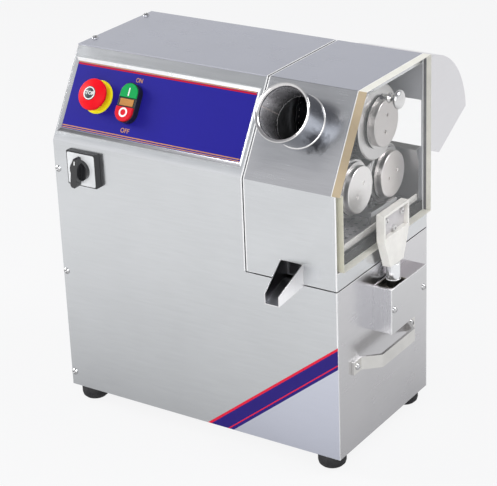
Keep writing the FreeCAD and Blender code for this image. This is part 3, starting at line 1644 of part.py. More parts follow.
def motor():
    """The gear motor: its ribbed housing, reducer, output shaft with pulley, and mount."""
    start = -HALF + D.motor_end_gap
    length = REDUCER[0] - start
    body = turned([(0, 0), (D.motor_radius, 0), (D.motor_radius, length), (0, length)], "x")
    doc.recompute()
    fin = new_sketch(body, "XY", D.fin_start)
    half = D.fin_thickness / 2
    reach = D.motor_radius + D.fin_height
    add_outline(fin, rectangle(D.motor_radius - 1, -half, reach, half))
    pad = body.newObject("PartDesign::Pad", "Fin")
    pad.Profile = fin
    bind(pad, Length=length - D.fin_start - D.fin_end)
    doc.recompute()
    fins = body.newObject("PartDesign::PolarPattern", "Fins")
    fins.Originals = [pad]
    fins.Axis = (fin, ["N_Axis"])
    fins.Angle = 360
    bind(fins, Occurrences=D.motor_fins)
    body.Tip = fins
    move(body, start, *MOTOR_AXIS)
    mount_top = BASE_TOP + D.mount_height
    half = (D.motor_radius + D.fin_height / 2) * cosine(D.motor_side_angle)
    depth, height = MOTOR_AXIS
    inset = D.motor_foot_inset
    foot = block(
        (start + inset, depth - half, mount_top),
        (start + length - inset, depth + half, height - D.motor_radius * 0.75),
    )
    terminal_low = start + D.terminal_start
    terminals = block(
        (terminal_low, depth - half, height + D.motor_radius * 0.8),
        (
            start + length - D.terminal_end,
            depth + half,
            height + D.motor_radius + D.terminal_rise,
        ),
    )
    node("motor_housing", fuse(body, foot, terminals))
    side = D.reducer_side / 2
    square = block(
        (REDUCER[0], depth - side, height - side), (REDUCER[1], depth + side, height + side)
    )
    round_off = rod("x", (REDUCER[0], depth, height), D.reducer_length, D.reducer_corner)
    grip = D.motor_shaft_grip
    bore = rod("x", (REDUCER[1] - grip, depth, height), grip + 1, D.motor_shaft_radius + D.shaft_play)
    node("reducer_housing", cut(common(square, round_off), bore))
    shaft_start = REDUCER[1] - grip + 1
    shaft = rod("x", (shaft_start, depth, height), PULLEYS[1] + 1 - shaft_start, D.motor_shaft_radius)
    profile = pulley_profile(D.small_pulley_radius, D.motor_shaft_radius + D.bore_fit)
    pulley = turned(profile, "x", (PULLEYS[0], depth, height))
    node("motor_pulley", group([shaft, pulley]))
    left, right = start, start + length
    wall, side = D.mount_sheet, half + D.mount_rim
    outer = block((left, depth - side, BASE_TOP), (right, depth + side, mount_top))
    inner = block(
        (left - 1, depth - side + wall, BASE_TOP - 1),
        (right + 1, depth + side - wall, mount_top - wall),
    )
    node("motor_mount", cut(outer, inner))


def contactor():
    """The motor's contactor, on the chamber plate below the tray."""
    start = CHAMBER_PLATE[1]
    side = D.contactor_depth / 2
    low, step = D.contactor_low, D.contactor_step
    high = low + D.contactor_height
    body = block((start, -side, low), (start + D.contactor_width - step, side, high))
    nose = block((start, -side, low + step), (start + D.contactor_width, side, high - step))
    node("contactor", fuse(body, nose))


def cable_gland():
    """The cord inlet low in the back panel."""
    radius, length, bore = D.gland_radius, D.gland_length, D.gland_bore
    neck = radius * 0.8 - D.screw_play
    inside = D.sheet + D.gland_inside
    profile = [
        (bore, -inside),
        (radius, -inside),
        (radius, -D.sheet),
        (neck, -D.sheet),
        (neck, 0),
        (radius, 0),
        (radius, 5.0),
        (radius * 0.82, 6.5),
        (radius * 0.82, length * 0.75),
        (radius * 0.6, length),
        (bore, length),
    ]
    place = (-HALF + D.gland_inset, BACK, D.gland_height)
    node("cable_gland", turned(profile, "y", place))


# ---------------------------------------------------------------- guard and interlock

def guard():
    """The clear guard plate and its pull knob."""
    left, right = SKIN_END + D.guard_seat_gap, SKIN_END + D.guard_thickness
    front = FRONT + D.guard_front_gap
    low = LEDGE + D.guard_seat_gap
    notch = BREAK + D.guard_seat_gap
    outline = [
        (front, low),
        (front, notch),
        (slope_depth(notch), notch),
        (slope_depth(TOP), TOP),
        (BACK, TOP),
        (BACK, low),
    ]
    place = (D.guard_knob_depth_place, TOP - D.guard_knob_drop)
    node("guard_plate", plate("YZ", outline, left, right, [(place, D.guard_knob_stud)]))
    radius, length = D.guard_knob_radius, D.guard_knob_length
    stud = D.guard_knob_stud - D.shaft_play
    profile = [
        (0, left - right + 1),
        (stud, left - right + 1),
        (stud, 0),
        (radius * 0.6, 0),
        (radius * 0.6, length * 0.08),
        (radius * 0.42, length * 0.15),
        (radius * 0.42, length * 0.4),
        (radius * 0.85, length * 0.48),
        (radius, length * 0.62),
        (radius, length * 0.82),
        (radius * 0.8, length * 0.95),
        (radius * 0.4, length),
        (0, length),
    ]
    node("guard_knob", turned(profile, "x", (right, *place)))


def interlock():
    """The bracket and post on the guard, and the switch box they work."""
    face = SKIN_END + D.guard_thickness
    end = face + D.bracket_thickness
    middle = D.bracket_depth_place
    half, waist = D.bracket_width / 2, D.bracket_waist / 2
    top, shoulder = LEDGE + D.bracket_rise, LEDGE + D.bracket_shoulder_rise
    low = LEDGE - D.bracket_drop
    outline = [
        (middle - half, top),
        (middle - half, shoulder),
        (middle - waist, low),
        (middle + waist, low),
        (middle + half, shoulder),
        (middle + half, top),
    ]
    rim = D.bracket_rim
    solid = plate("YZ", outline, face, end)
    pocket = block(
        (end - D.bracket_pocket, middle - half + rim, shoulder + rim),
        (end + 1, middle + half - rim, top - rim),
    )
    spread, drop = D.bracket_screw_spread / 2, D.bracket_screw_drop
    height = top - D.bracket_screw_inset
    places = [(middle - spread, height), (middle + spread, height), (middle, height - drop)]
    seat = end - D.bracket_pocket
    holes = [
        rod("x", (face - 1, *place), D.bracket_thickness, D.bracket_screw_radius + D.screw_play)
        for place in places
    ]
    middle_x = (face + end) / 2
    pin, post_top = D.post_pin_radius, low + D.post_pin_length
    socket = rod("z", (middle_x, middle, low - 1), D.post_pin_length + 1, pin + D.bore_fit)
    node("interlock_bracket", cut(solid, pocket, socket, *holes))
    shank, head, rise = D.bracket_screw_radius, D.bracket_screw_head, D.bracket_screw_rise
    shank_end = face - seat + D.screw_play
    profile = [
        (0, shank_end),
        (shank, shank_end),
        (shank, 0),
        (head, 0),
        (head, rise * 0.85),
        (head * 0.85, rise),
        (head * 0.5, rise),
        (head * 0.5, rise * 0.4),
        (0, rise * 0.4),
    ]
    node("bracket_screws", group([turned(profile, "x", (seat, *place)) for place in places]))
    post_low = BOX_HIGH - D.post_engagement
    radius, edge = D.post_radius, D.post_edge
    profile = [
        (0, post_low),
        (radius - edge, post_low),
        (radius, post_low + edge),
        (radius, low),
        (pin, low),
        (pin, post_top),
        (0, post_top),
    ]
    node("interlock_post", turned(profile, "z", (middle_x, middle, 0)))
    box_low, box_high = BOX_LOW, BOX_HIGH
    wall = D.box_wall
    shell = block((HALF, D.box_front, box_low), (HALF + D.box_depth, D.box_back, box_high))
    inside = block(
        (HALF - 1, D.box_front + wall, box_low + wall),
        (HALF + D.box_depth - wall, D.box_back - wall, box_high - wall),
    )
    slot = block(
        (HALF + D.slot_start, D.slot_front, box_high - wall - 1),
        (HALF + D.slot_start + D.slot_width, D.slot_back, box_high + 1),
    )
    side, micro_high = D.micro_width / 2, box_high - D.micro_high_gap
    micro = block(
        (HALF, middle - side, box_low + D.micro_low_gap),
        (HALF + D.box_depth - wall, middle + side, micro_high),
    )
    plunger_top = post_low - D.plunger_gap
    plunger_low = plunger_top - D.plunger_length
    bore_low = plunger_low - D.plunger_stroke - 1
    bore = rod(
        "z", (middle_x, middle, bore_low), micro_high + 1 - bore_low, D.plunger_radius + D.shaft_play
    )
    holes = [screw_hole("x", place, 1) for place in BOX_SCREWS]
    node("interlock_box", cut(fuse(cut(shell, inside, slot, *holes), micro), bore))
    edge = D.plunger_radius / 5
    profile = [
        (0, plunger_low),
        (D.plunger_radius, plunger_low),
        (D.plunger_radius, plunger_top - edge),
        (D.plunger_radius - edge, plunger_top),
        (0, plunger_top),
    ]
    node("switch_plunger", turned(profile, "z", (middle_x, middle, 0)))


def carry_handle():
    """The bent flat bar on the right side."""
    thickness, reach = D.handle_thickness, D.handle_reach
    front, back = D.handle_front, D.handle_back
    foot, leg = D.handle_foot, D.handle_leg
    rise = reach - thickness
    run = root(leg * leg + rise * rise)
    corner = thickness * (run - leg) / rise
    outline = [
        (HALF, front),
        (HALF + thickness, front),
        (HALF + thickness, front + foot),
        (HALF + reach, front + foot + leg),
        (HALF + reach, back - foot - leg),
        (HALF + thickness, back - foot),
        (HALF + thickness, back),
        (HALF, back),
        (HALF, back - foot - corner),
        (HALF + rise, back - foot - leg - corner),
        (HALF + rise, front + foot + leg + corner),
        (HALF, front + foot + corner),
    ]
    bar = plate("XY", outline, HANDLE_LOW, HANDLE_HIGH)
    holes = [screw_hole("x", place, 1) for place in HANDLE_SCREWS]
    node("carry_handle", cut(bar, *holes))


# ---------------------------------------------------------------- build and export

def build():
    """Every sub-part of the machine, from the ground up."""
    base_and_feet()
    front_panel()
    side_panels()
    back_panel()
    top_cover()
    roller_housing()
    control_panel()
    emergency_stop()
    twin_button()
    rotary_switch()
    feed_tube()
    juice_spout()
    juice_tray()
    strainer_plate()
    roller_scrapers()
    bagasse_chute()
    outlet_hood()
    carrier_plates()
    bearings()
    rollers()
    countershaft()
    drive_belt()
    motor()
    contactor()
    cable_gland()
    guard()
    interlock()
    carry_handle()
    cover_screws()


def check():
    """Stop if any object failed or a sub-part isn't a sound solid."""
    failed = [item.Name for item in doc.Objects if {"Invalid", "Error"} & set(item.State)]
    if failed:
        raise RuntimeError(f"objects failed to build: {failed}")
    for label, thing in NODES.items():
        shape = thing.Shape
        if shape.isNull() or not shape.isValid() or not shape.Solids:
            raise RuntimeError(f"{label} is not a valid solid")


def export():
    """Write one STEP file for each sub-part."""
    os.makedirs("parts", exist_ok=True)
    for label, thing in NODES.items():
        thing.Shape.exportStep(f"parts/{label}.step")
        print(f"{label}: {len(thing.Shape.Solids)} solid(s), {thing.Shape.Volume / 1000:.1f} cm3")


build()
doc.recompute()
check()
export()
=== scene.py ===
import json
import logging
import math
from abc import ABC, abstractmethod
from dataclasses import dataclass
from enum import Enum
from typing import Any, Callable, Iterable, Sequence

import bpy
from mathutils import Matrix, Vector

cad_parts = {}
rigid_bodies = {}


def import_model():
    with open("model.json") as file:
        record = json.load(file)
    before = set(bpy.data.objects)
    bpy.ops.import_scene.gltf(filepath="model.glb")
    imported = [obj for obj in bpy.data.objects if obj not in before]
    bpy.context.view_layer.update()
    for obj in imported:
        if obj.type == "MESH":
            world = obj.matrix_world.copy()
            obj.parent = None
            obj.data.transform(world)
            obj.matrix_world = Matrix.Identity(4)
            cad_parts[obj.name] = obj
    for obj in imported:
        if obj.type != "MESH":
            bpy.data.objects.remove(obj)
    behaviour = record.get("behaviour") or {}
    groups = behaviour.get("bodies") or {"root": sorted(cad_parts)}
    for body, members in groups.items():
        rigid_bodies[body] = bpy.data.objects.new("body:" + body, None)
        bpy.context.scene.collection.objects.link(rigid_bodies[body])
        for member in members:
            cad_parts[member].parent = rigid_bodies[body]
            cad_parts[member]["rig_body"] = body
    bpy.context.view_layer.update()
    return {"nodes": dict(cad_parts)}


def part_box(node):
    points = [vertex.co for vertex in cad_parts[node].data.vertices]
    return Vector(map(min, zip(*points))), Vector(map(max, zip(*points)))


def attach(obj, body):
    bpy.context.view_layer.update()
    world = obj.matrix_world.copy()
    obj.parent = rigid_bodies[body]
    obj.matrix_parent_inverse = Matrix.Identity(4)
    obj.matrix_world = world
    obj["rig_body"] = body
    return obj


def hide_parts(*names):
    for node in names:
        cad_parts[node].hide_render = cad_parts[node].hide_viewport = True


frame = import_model()

LOG = logging.getLogger("juicer")
MM = 0.001
STRAIGHT = 0.9  # how much of a normal lies along the axis that its face looks along
LARGE_FACE = 1e-4  # in square metres, larger than any round or rim
SHARP = 35.0  # in degrees, the least angle of an edge that stays sharp
BLUNT = 50.0  # the same for pieces whose curves have few faces
RING_STEPS = 48  # faces around a small turned piece

Colour = tuple[float, float, float]
Point = tuple[float, float, float]
Pair = tuple[float, float]
Material = bpy.types.Material
Face = bpy.types.MeshPolygon
Piece = bpy.types.Object
Test = Callable[[Face], bool]


class Axis(Enum):
    """A direction of the machine's own frame."""

    X = 0
    Y = 1
    Z = 2

    def pick(self, value: float, other: float) -> Point:
        """Three numbers: a value for this axis, and another one for the rest."""
        return tuple(value if axis is self else other for axis in Axis)


class Slot(Enum):
    """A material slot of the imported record."""

    BRUSHED = "brushed_stainless"
    SATIN = "satin_stainless"
    ROLLER = "roller_stainless"
    CHROME = "bright_chrome"
    CLEAR = "clear_acrylic"
    RUBBER = "black_rubber"
    BLACK = "black_plastic"
    WHITE = "white_plastic"
    RED = "red_plastic"
    GREEN = "green_plastic"
    YELLOW = "yellow_plastic"


class Body(Enum):
    """A body that new pieces ride on."""

    CABINET = "cabinet"
    GUARD = "guard"
    STOP_HEAD = "estop_head"
    ON_KEY = "on_key"
    OFF_KEY = "off_key"
    SWITCH_KNOB = "main_switch_knob"


# ---------------------------------------------------------------- shader wiring


@dataclass(frozen=True)
class Grain:
    """Smooth noise: its waves per metre, how many finer layers it has and how strong they are."""

    scale: float
    layers: float = 2.0
    strength: float = 0.5


def shade(colour: Colour, factor: float) -> Colour:
    """A colour made lighter or darker by a factor."""
    return tuple(min(part * factor, 1.0) for part in colour)


class Channel:
    """A number that varies over a surface; sums on it add Math nodes."""

    def __init__(self, shader: "Shader", socket: bpy.types.NodeSocket) -> None:
        """Wrap a socket of a shader's node."""
        self.shader = shader
        self.socket = socket

    def _math(self, operation: str, first: Any, second: Any = None) -> "Channel":
        """Add a Math node.

        Args:
            operation: the node's operation.
            first: its first value, a number or a Channel.
            second: its second value, if the operation has one.

        Returns:
            The node's result.
        """
        values = {"Value": first} if second is None else {"Value": first, "Value_001": second}
        return self.shader.node("ShaderNodeMath", {"operation": operation}, values)

    def __add__(self, other: Any) -> "Channel":
        """Add a number or a Channel."""
        return self._math("ADD", self, other)

    def __radd__(self, other: Any) -> "Channel":
        """Add to a number."""
        return self._math("ADD", other, self)

    def __sub__(self, other: Any) -> "Channel":
        """Take away a number or a Channel."""
        return self._math("SUBTRACT", self, other)

    def __rsub__(self, other: Any) -> "Channel":
        """Take away from a number."""
        return self._math("SUBTRACT", other, self)

    def __mul__(self, other: Any) -> "Channel":
        """Multiply by a number or a Channel."""
        return self._math("MULTIPLY", self, other)

    def power(self, exponent: float) -> "Channel":
        """Raise to a power."""
        return self._math("POWER", self, exponent)

    def sine(self) -> "Channel":
        """Take the sine."""
        return self._math("SINE", self)

    def size(self) -> "Channel":
        """Take the absolute value."""
        return self._math("ABSOLUTE", self)

    def clamped(self, low: float, high: float) -> "Channel":
        """Map the range from low to high onto 0 to 1 and hold it there."""
        values = {"Value": self, "From Min": low, "From Max": high}
        return self.shader.node("ShaderNodeMapRange", {"clamp": True}, values)


class Shader:
    """A material that is being wired."""

    def __init__(self, name: str, tree: bpy.types.NodeTree | None = None) -> None:
        """Start a material, or go on with the node tree of a world.

        Args:
            name: the material's name.
            tree: a tree to use in place of a new material's.
        """
        self.material = None
        if tree is None:
            self.material = bpy.data.materials.new(name)
            self.material.use_nodes = True
            tree = self.material.node_tree
        self.tree = tree

    def node(self, kind: str, settings: dict[str, Any] | None = None,
             inputs: dict[str, Any] | None = None, output: str | int = 0) -> Channel:
        """Add a node.

        Args:
            kind: the node's type.
            settings: what is set on it first; "stops" are a ramp's places and colours.
            inputs: values or Channels, by the socket's identifier or name.
            output: which output is handed back.

        Returns:
            The chosen output.
        """
        made = self.tree.nodes.new(kind)
        for key, value in (settings or {}).items():
            if key == "stops":
                self._set_stops(made.color_ramp, value)
            else:
                setattr(made, key, value)
        for key, value in (inputs or {}).items():
            self.feed(self._socket(made.inputs, key), value)
        if isinstance(output, int):
            return Channel(self, made.outputs[output])
        return Channel(self, self._socket(made.outputs, output))

    @staticmethod
    def _set_stops(ramp: bpy.types.ColorRamp, stops: Sequence[tuple[float, Colour]]) -> None:
        """Give a colour ramp its stops.

        Args:
            ramp: the ramp.
            stops: the place and the colour of each.
        """
        while len(ramp.elements) < len(stops):
            ramp.elements.new(1.0)
        for element, (place, colour) in zip(ramp.elements, stops):
            element.position = place
            element.color = (*colour, 1.0)

    @staticmethod
    def _socket(sockets: Iterable[bpy.types.NodeSocket], key: str) -> bpy.types.NodeSocket:
        """Find a socket by its identifier, or else by its name."""
        exact = [item for item in sockets if item.identifier == key]
        return (exact or [item for item in sockets if item.name == key])[0]

    def feed(self, socket: bpy.types.NodeSocket, value: Any) -> None:
        """Set a socket, or link a Channel to it.

        Args:
            socket: the socket.
            value: a number, a vector, a colour or a Channel.
        """
        if isinstance(value, Channel):
            self.tree.links.new(value.socket, socket)
        elif isinstance(value, tuple) and len(value) == 3 and socket.type == "RGBA":
            socket.default_value = (*value, 1.0)
        else:
            socket.default_value = value

    def surface(self, **values: Any) -> Material:
        """Set sockets of the material's Principled shader.

        Args:
            values: what each gets, by its name with an underscore for a space.

        Returns:
            The material.
        """
        principled = self.tree.nodes["Principled BSDF"]
        for key, value in values.items():
            self.feed(principled.inputs[key.replace("_", " ")], value)
        return self.material

    def vector(self, operation: str, at: Channel, other: Point | None = None,
               output: str = "Vector") -> Channel:
        """Add a Vector Math node.

        Args:
            operation: the node's operation.
            at: its first vector.
            other: its second vector, if the operation has one.
            output: "Vector", or "Value" where the result is a number.

        Returns:
            The node's result.
        """
        values = {"Vector": at} if other is None else {"Vector": at, "Vector_001": other}
        return self.node("ShaderNodeVectorMath", {"operation": operation}, values, output)

    def place(self, centre: Point = (0, 0, 0), turn: Point = (0, 0, 0),
              scale: Point = (1, 1, 1)) -> Channel:
        """Object coordinates, centred, turned and stretched.

        Args:
            centre: the point that becomes the origin.
            turn: a rotation in radians.
            scale: how much finer the pattern is along each axis.

        Returns:
            The coordinates.
        """
        moved = self.vector("SUBTRACT", self.node("ShaderNodeTexCoord", output="Object"), centre)
        values = {"Vector": moved, "Rotation": turn, "Scale": scale}
        return self.node("ShaderNodeMapping", {}, values)

    def dot(self, at: Channel, direction: Point) -> Channel:
        """The dot product of coordinates with a direction."""
        return self.vector("DOT_PRODUCT", at, direction, "Value")

    def reach(self, at: Channel) -> Channel:
        """The distance of coordinates from their origin."""
        return self.vector("LENGTH", at, output="Value")

    def noise(self, grain: Grain, at: Channel | None = None) -> Channel:
        """Smooth noise about 0.5, on Object coordinates unless others are given."""
        values = {"Scale": grain.scale, "Detail": grain.layers, "Roughness": grain.strength}
        return self.node("ShaderNodeTexNoise", {}, {"Vector": at or self.place(), **values})

    def blend(self, share: Any, first: Any, second: Any) -> Channel:
        """Mix two colours."""
        values = {"Factor_Float": share, "A_Color": first, "B_Color": second}
        return self.node("ShaderNodeMix", {"data_type": "RGBA"}, values, "Result_Color")

    def tones(self, share: Channel, colour: Colour, dark: float, light: float) -> Channel:
        """Mix a darker and a lighter tone of one colour."""
        return self.blend(share, shade(colour, dark), shade(colour, light))

    def bump(self, height: Channel, distance: float, strength: float = 1.0) -> Channel:
        """A normal from a height times a distance in metres."""
        values = {"Height": height, "Distance": distance, "Strength": strength}
        return self.node("ShaderNodeBump", {}, values)

    def rays(self) -> list[Channel]:
        """Whether the camera, a reflection or a view through a clear piece meets the surface."""
        kinds = ("Is Camera Ray", "Is Glossy Ray", "Is Transmission Ray")
        return [self.node("ShaderNodeLightPath", output=kind) for kind in kinds]


# ---------------------------------------------------------------- finishes


@dataclass(frozen=True)
class Finish(ABC):
    """A named look that can build its material."""

    name: str

    @abstractmethod
    def build(self) -> Material:
        """Wire the material."""


@dataclass(frozen=True)
class BrushedSteel(Finish):
    """Stainless sheet, brushed along one axis; it may be painted lighter or darker below a height,
    and may carry a painted shadow.
    """

    along: Axis = Axis.X
    colour: Colour = (0.60, 0.605, 0.615)
    roughness: float = 0.24
    mottle: float = 0.05
    line: float = 0.6 * MM
    # painted light: below the first height the tone is scaled by the third number, and is plain
    # again above the second
    height_light: tuple[float, float, float] = (0.0, 1.0, 1.0)
    metallic: float = 1.0
    # a painted shadow: its centre, its reach, and its colour further down
    shadow_spot: Point = (0.0, 0.0, 0.0)
    shadow_reach: float = 0.0
    line_stretch: float = 0.02
    streak_stretch: float = 0.06
    streak: Grain = Grain(160.0, 3.0, 0.65)
    cloud: Grain = Grain(9.0, 3.0, 0.6)
    smudge: Grain = Grain(34.0)
    smudge_centre: Point = (0.3, 0.1, 0.7)
    ragged: Grain = Grain(120.0, 3.0, 0.6)
    shadow_colour: Colour = (0.03, 0.03, 0.034)

    def build(self) -> Material:
        """Wire fine lines along the grain, longer streaks, faint handling marks, painted light
        below a height and a painted shadow.

        Returns:
            The material.
        """
        shader = Shader(self.name)
        lines = Grain(1.0 / self.line, 3.0, 0.6)
        fine, streaks = (
            shader.noise(grain, shader.place(scale=self.along.pick(stretch, 1.0)))
            for grain, stretch in ((lines, self.line_stretch), (self.streak, self.streak_stretch))
        )
        cloud = shader.noise(self.cloud)
        smudges = shader.noise(self.smudge, shader.place(self.smudge_centre)).clamped(0.52, 0.75)
        tone = (streaks - 0.5) * 0.7 + (cloud - 0.5) * 1.2 + (fine - 0.5) * 1.8
        share = tone * self.mottle * 8.0 + 0.5
        # painted light: a scaled tone below a height
        low, high, light_gain = self.height_light
        place = {"Vector": shader.place()}
        height = shader.node("ShaderNodeSeparateXYZ", {}, place, "Z").clamped(low, high)
        bright = shader.tones(share, self.colour, 0.9 * light_gain, 1.1 * light_gain)
        colour = shader.blend(height, bright, shader.tones(share, self.colour, 0.9, 1.1))
        if self.shadow_reach:
            colour = self._shadowed(shader, colour)
        return shader.surface(
            Base_Color=colour,
            Metallic=self.metallic,
            Roughness=self.roughness + (streaks - 0.5) * 0.1 + (fine - 0.5) * 0.06 + smudges * 0.04,
            Normal=shader.bump(fine * 0.6 + streaks * 0.4, 0.015 * MM, 0.35),
        )

    def _shadowed(self, shader: Shader, colour: Channel) -> Channel:
        """Darken a colour round the painted shadow's centre, with a ragged border.

        Args:
            shader: the material that is being wired.
            colour: the colour without it.

        Returns:
            The colour with it.
        """
        away = shader.reach(shader.place(self.shadow_spot))
        wander = (shader.noise(self.ragged) - 0.5) * (self.shadow_reach * 1.2)
        dark = 1.0 - (away + wander).clamped(self.shadow_reach * 0.3, self.shadow_reach)
        return shader.blend(dark * 0.9, colour, self.shadow_colour)


@dataclass(frozen=True)
class TurnedSteel(Finish):
    """Steel with fine rings from the lathe about an axis along X."""

    centre: Pair
    colour: Colour = (0.56, 0.55, 0.545)
    roughness: float = 0.3
    pitch: float = 0.5 * MM
    stain: Grain = Grain(60.0, 3.0, 0.6)
    band: Grain = Grain(900.0, 2.0, 0.7)

    def build(self) -> Material:
        """Wire rings, a slow change of tone with the radius, and faint stains.

        Returns:
            The material.
        """
        shader = Shader(self.name)
        place = shader.place((0.0, *self.centre))
        radius = shader.reach(shader.vector("MULTIPLY", place, (0, 1, 1)))
        rings = (radius * (2 * math.pi / self.pitch)).sine() * 0.5 + 0.5
        stains = shader.noise(self.stain, place)
        bands = shader.noise(self.band, shader.node("ShaderNodeCombineXYZ", {}, {"X": radius}))
        return shader.surface(
            Base_Color=shader.tones(bands * 0.6 + stains * 0.4, self.colour, 0.86, 1.12),
            Metallic=1.0,
            Roughness=self.roughness + (bands - 0.5) * 0.16 + (stains - 0.5) * 0.12,
            Normal=shader.bump(rings * 0.5 + bands * 0.5, 0.03 * MM, 0.5),
        )


@dataclass(frozen=True)
class PolishedSteel(Finish):
    """Bright steel with faint polishing marks."""

    colour: Colour = (0.62, 0.62, 0.625)
    roughness: float = 0.1
    marks: float = 0.06
    metallic: float = 1.0
    wave: Grain = Grain(70.0)
    scratch: Grain = Grain(900.0, 3.0, 0.7)
    cloud: Grain = Grain(40.0, 4.0, 0.6)

    def build(self) -> Material:
        """Wire soft waves in the polish and thin cloudy marks.

        Returns:
            The material.
        """
        shader = Shader(self.name)
        waves = shader.noise(self.wave)
        scratches = shader.noise(self.scratch, shader.place(scale=(1.0, 0.3, 1.0)))
        cloud = shader.noise(self.cloud)
        worn = (cloud - 0.4) * self.marks * 2.0 + (scratches - 0.5) * self.marks
        return shader.surface(
            Base_Color=shader.tones(cloud, self.colour, 0.84, 1.14),
            Metallic=self.metallic,
            Roughness=self.roughness + worn,
            Normal=shader.bump(waves * 0.7 + scratches * 0.1, 0.25 * MM, 0.4),
        )


@dataclass(frozen=True)
class ShadedBore(Finish):
    """The inner wall of a tube: stained, with painted shade that deepens away from the mouth, and a
    pale weld line along it.
    """

    mouth: Point
    axis: Point
    side: Point
    depth: float = 46.0 * MM
    # painted shade: the tone near the mouth and deep inside
    light: Colour = (0.66, 0.65, 0.68)
    dark: Colour = (0.012, 0.011, 0.011)
    weld: Colour = (0.9, 0.8, 0.76)
    weld_half: Pair = (0.3 * MM, 0.9 * MM)
    stain: Grain = Grain(90.0, 4.0, 0.65)
    scratch: Grain = Grain(420.0, 3.0, 0.7)

    def build(self) -> Material:
        """Wire the painted shade along the axis, stains, and the weld line on one side.

        Returns:
            The material.
        """
        shader = Shader(self.name)
        place = shader.place(self.mouth)
        deep = (0.0 - shader.dot(place, self.axis)).clamped(0.0, self.depth)
        stains = shader.noise(self.stain, place)
        scratches = shader.noise(self.scratch, place)
        across = tuple(Vector(self.axis).cross(Vector(self.side)))
        line = 1.0 - shader.dot(place, across).size().clamped(*self.weld_half)
        seam = line * shader.dot(place, self.side).clamped(0.0, MM)
        # painted shade: light at the mouth, near black deeper in, and the weld line fades with it
        wall = shader.blend(deep.power(1.1) + (stains - 0.5) * 0.5, self.light, self.dark)
        return shader.surface(
            Base_Color=shader.blend(seam * 0.9 * (1.0 - deep * 0.5), wall, self.weld),
            Metallic=0.6,
            Roughness=0.28 + (stains - 0.5) * 0.3 + (scratches - 0.5) * 0.1,
            Normal=shader.bump(stains * 0.6 + scratches * 0.4, 0.15 * MM, 0.5),
        )


@dataclass(frozen=True)
class Plastic(Finish):
    """Moulded plastic, with a fine skin and a little dust in it."""

    colour: Colour
    roughness: float = 0.35
    gloss: float = 0.0
    specular: float = 0.5
    skin: float = 0.04 * MM
    cloud: Grain = Grain(60.0, 3.0, 0.6)
    pit: Grain = Grain(2400.0, 2.0, 0.6)

    def build(self) -> Material:
        """Wire the moulded skin, worn tone and an even gloss.

        Returns:
            The material.
        """
        shader = Shader(self.name)
        cloud = shader.noise(self.cloud)
        pits = shader.noise(self.pit)
        return shader.surface(
            Base_Color=shader.tones(cloud, self.colour, 0.88, 1.12),
            Roughness=self.roughness + (cloud - 0.5) * 0.14 + (pits - 0.5) * 0.06,
            Coat_Weight=self.gloss,
            Coat_Roughness=0.08,
            Specular_IOR_Level=self.specular,
            Normal=shader.bump(pits, self.skin, 0.5),
        )


@dataclass(frozen=True)
class PrintedFilm(Finish):
    """A thin film printed in an ink that varies between two tones."""

    colour: Colour
    deep: Colour
    roughness: float = 0.3
    sheen: float = 0.15
    cloud: Grain = Grain(12.0, 3.0, 0.55)
    dot: Grain = Grain(1600.0, 1.0)
    wave: Grain = Grain(26.0)

    def build(self) -> Material:
        """Wire a slow change between the tones, and slight waves in the film.

        Returns:
            The material.
        """
        shader = Shader(self.name)
        cloud, dots, waves = (shader.noise(grain) for grain in (self.cloud, self.dot, self.wave))
        return shader.surface(
            Base_Color=shader.blend(cloud * 0.8 + dots * 0.2, self.colour, self.deep),
            Roughness=self.roughness + (cloud - 0.5) * 0.1,
            Specular_IOR_Level=self.sheen,
            Normal=shader.bump(waves, 0.2 * MM, 0.2),
        )


@dataclass(frozen=True)
class SoftRubber(Finish):
    """Dull rubber with dust and scuffs."""

    colour: Colour = (0.012, 0.012, 0.014)
    dusty: Colour = (0.09, 0.085, 0.08)
    dust: Grain = Grain(120.0, 4.0, 0.65)
    skin: Grain = Grain(1800.0)

    def build(self) -> Material:
        """Wire a matt, slightly dusty skin.

        Returns:
            The material.
        """
        shader = Shader(self.name)
        dust = shader.noise(self.dust).clamped(0.45, 0.8)
        return shader.surface(
            Base_Color=shader.blend(dust * 0.3, self.colour, self.dusty),
            Roughness=0.62 + dust * 0.2,
            Normal=shader.bump(shader.noise(self.skin), 0.08 * MM, 0.6),
        )


@dataclass(frozen=True)
class CastMetal(Finish):
    """A rough casting, bare or painted."""

    colour: Colour
    metallic: float = 0.0
    roughness: float = 0.5
    sand: Grain = Grain(1100.0, 3.0, 0.6)
    cloud: Grain = Grain(30.0, 3.0, 0.6)

    def build(self) -> Material:
        """Wire the sand grain of a casting under its skin.

        Returns:
            The material.
        """
        shader = Shader(self.name)
        sand = shader.noise(self.sand)
        cloud = shader.noise(self.cloud)
        return shader.surface(
            Base_Color=shader.tones(cloud, self.colour, 0.8, 1.2),
            Metallic=self.metallic,
            Roughness=self.roughness + (sand - 0.5) * 0.2,
            Normal=shader.bump(sand, 0.25 * MM, 0.7),
        )


@dataclass(frozen=True)
class ClearSheet(Finish):
    """Clear plastic sheet: see-through, with a faint tint, haze and fine scratches."""

    colour: Colour = (0.86, 0.88, 0.88)
    cover: float = 0.065
    roughness: float = 0.06
    haze: Grain = Grain(18.0, 3.0, 0.6)
    scratch: Grain = Grain(1500.0)

    def build(self) -> Material:
        """Wire the haze and the scratches into the sheet's cover.

        Returns:
            The material.
        """
        shader = Shader(self.name)
        haze = shader.noise(self.haze).clamped(0.3, 0.8)
        lines = shader.place(turn=(0.5, 0, 0), scale=(1.0, 0.06, 1.0))
        scratches = shader.noise(self.scratch, lines).clamped(0.66, 0.74)
        return shader.surface(
            Base_Color=shader.blend(haze, self.colour, shade(self.colour, 1.06)),
            Roughness=self.roughness + haze * 0.05 + scratches * 0.2,
            Alpha=haze * (self.cover * 0.5) + self.cover * 0.75 + scratches * 0.05,
        )


# ---------------------------------------------------------------- modelling


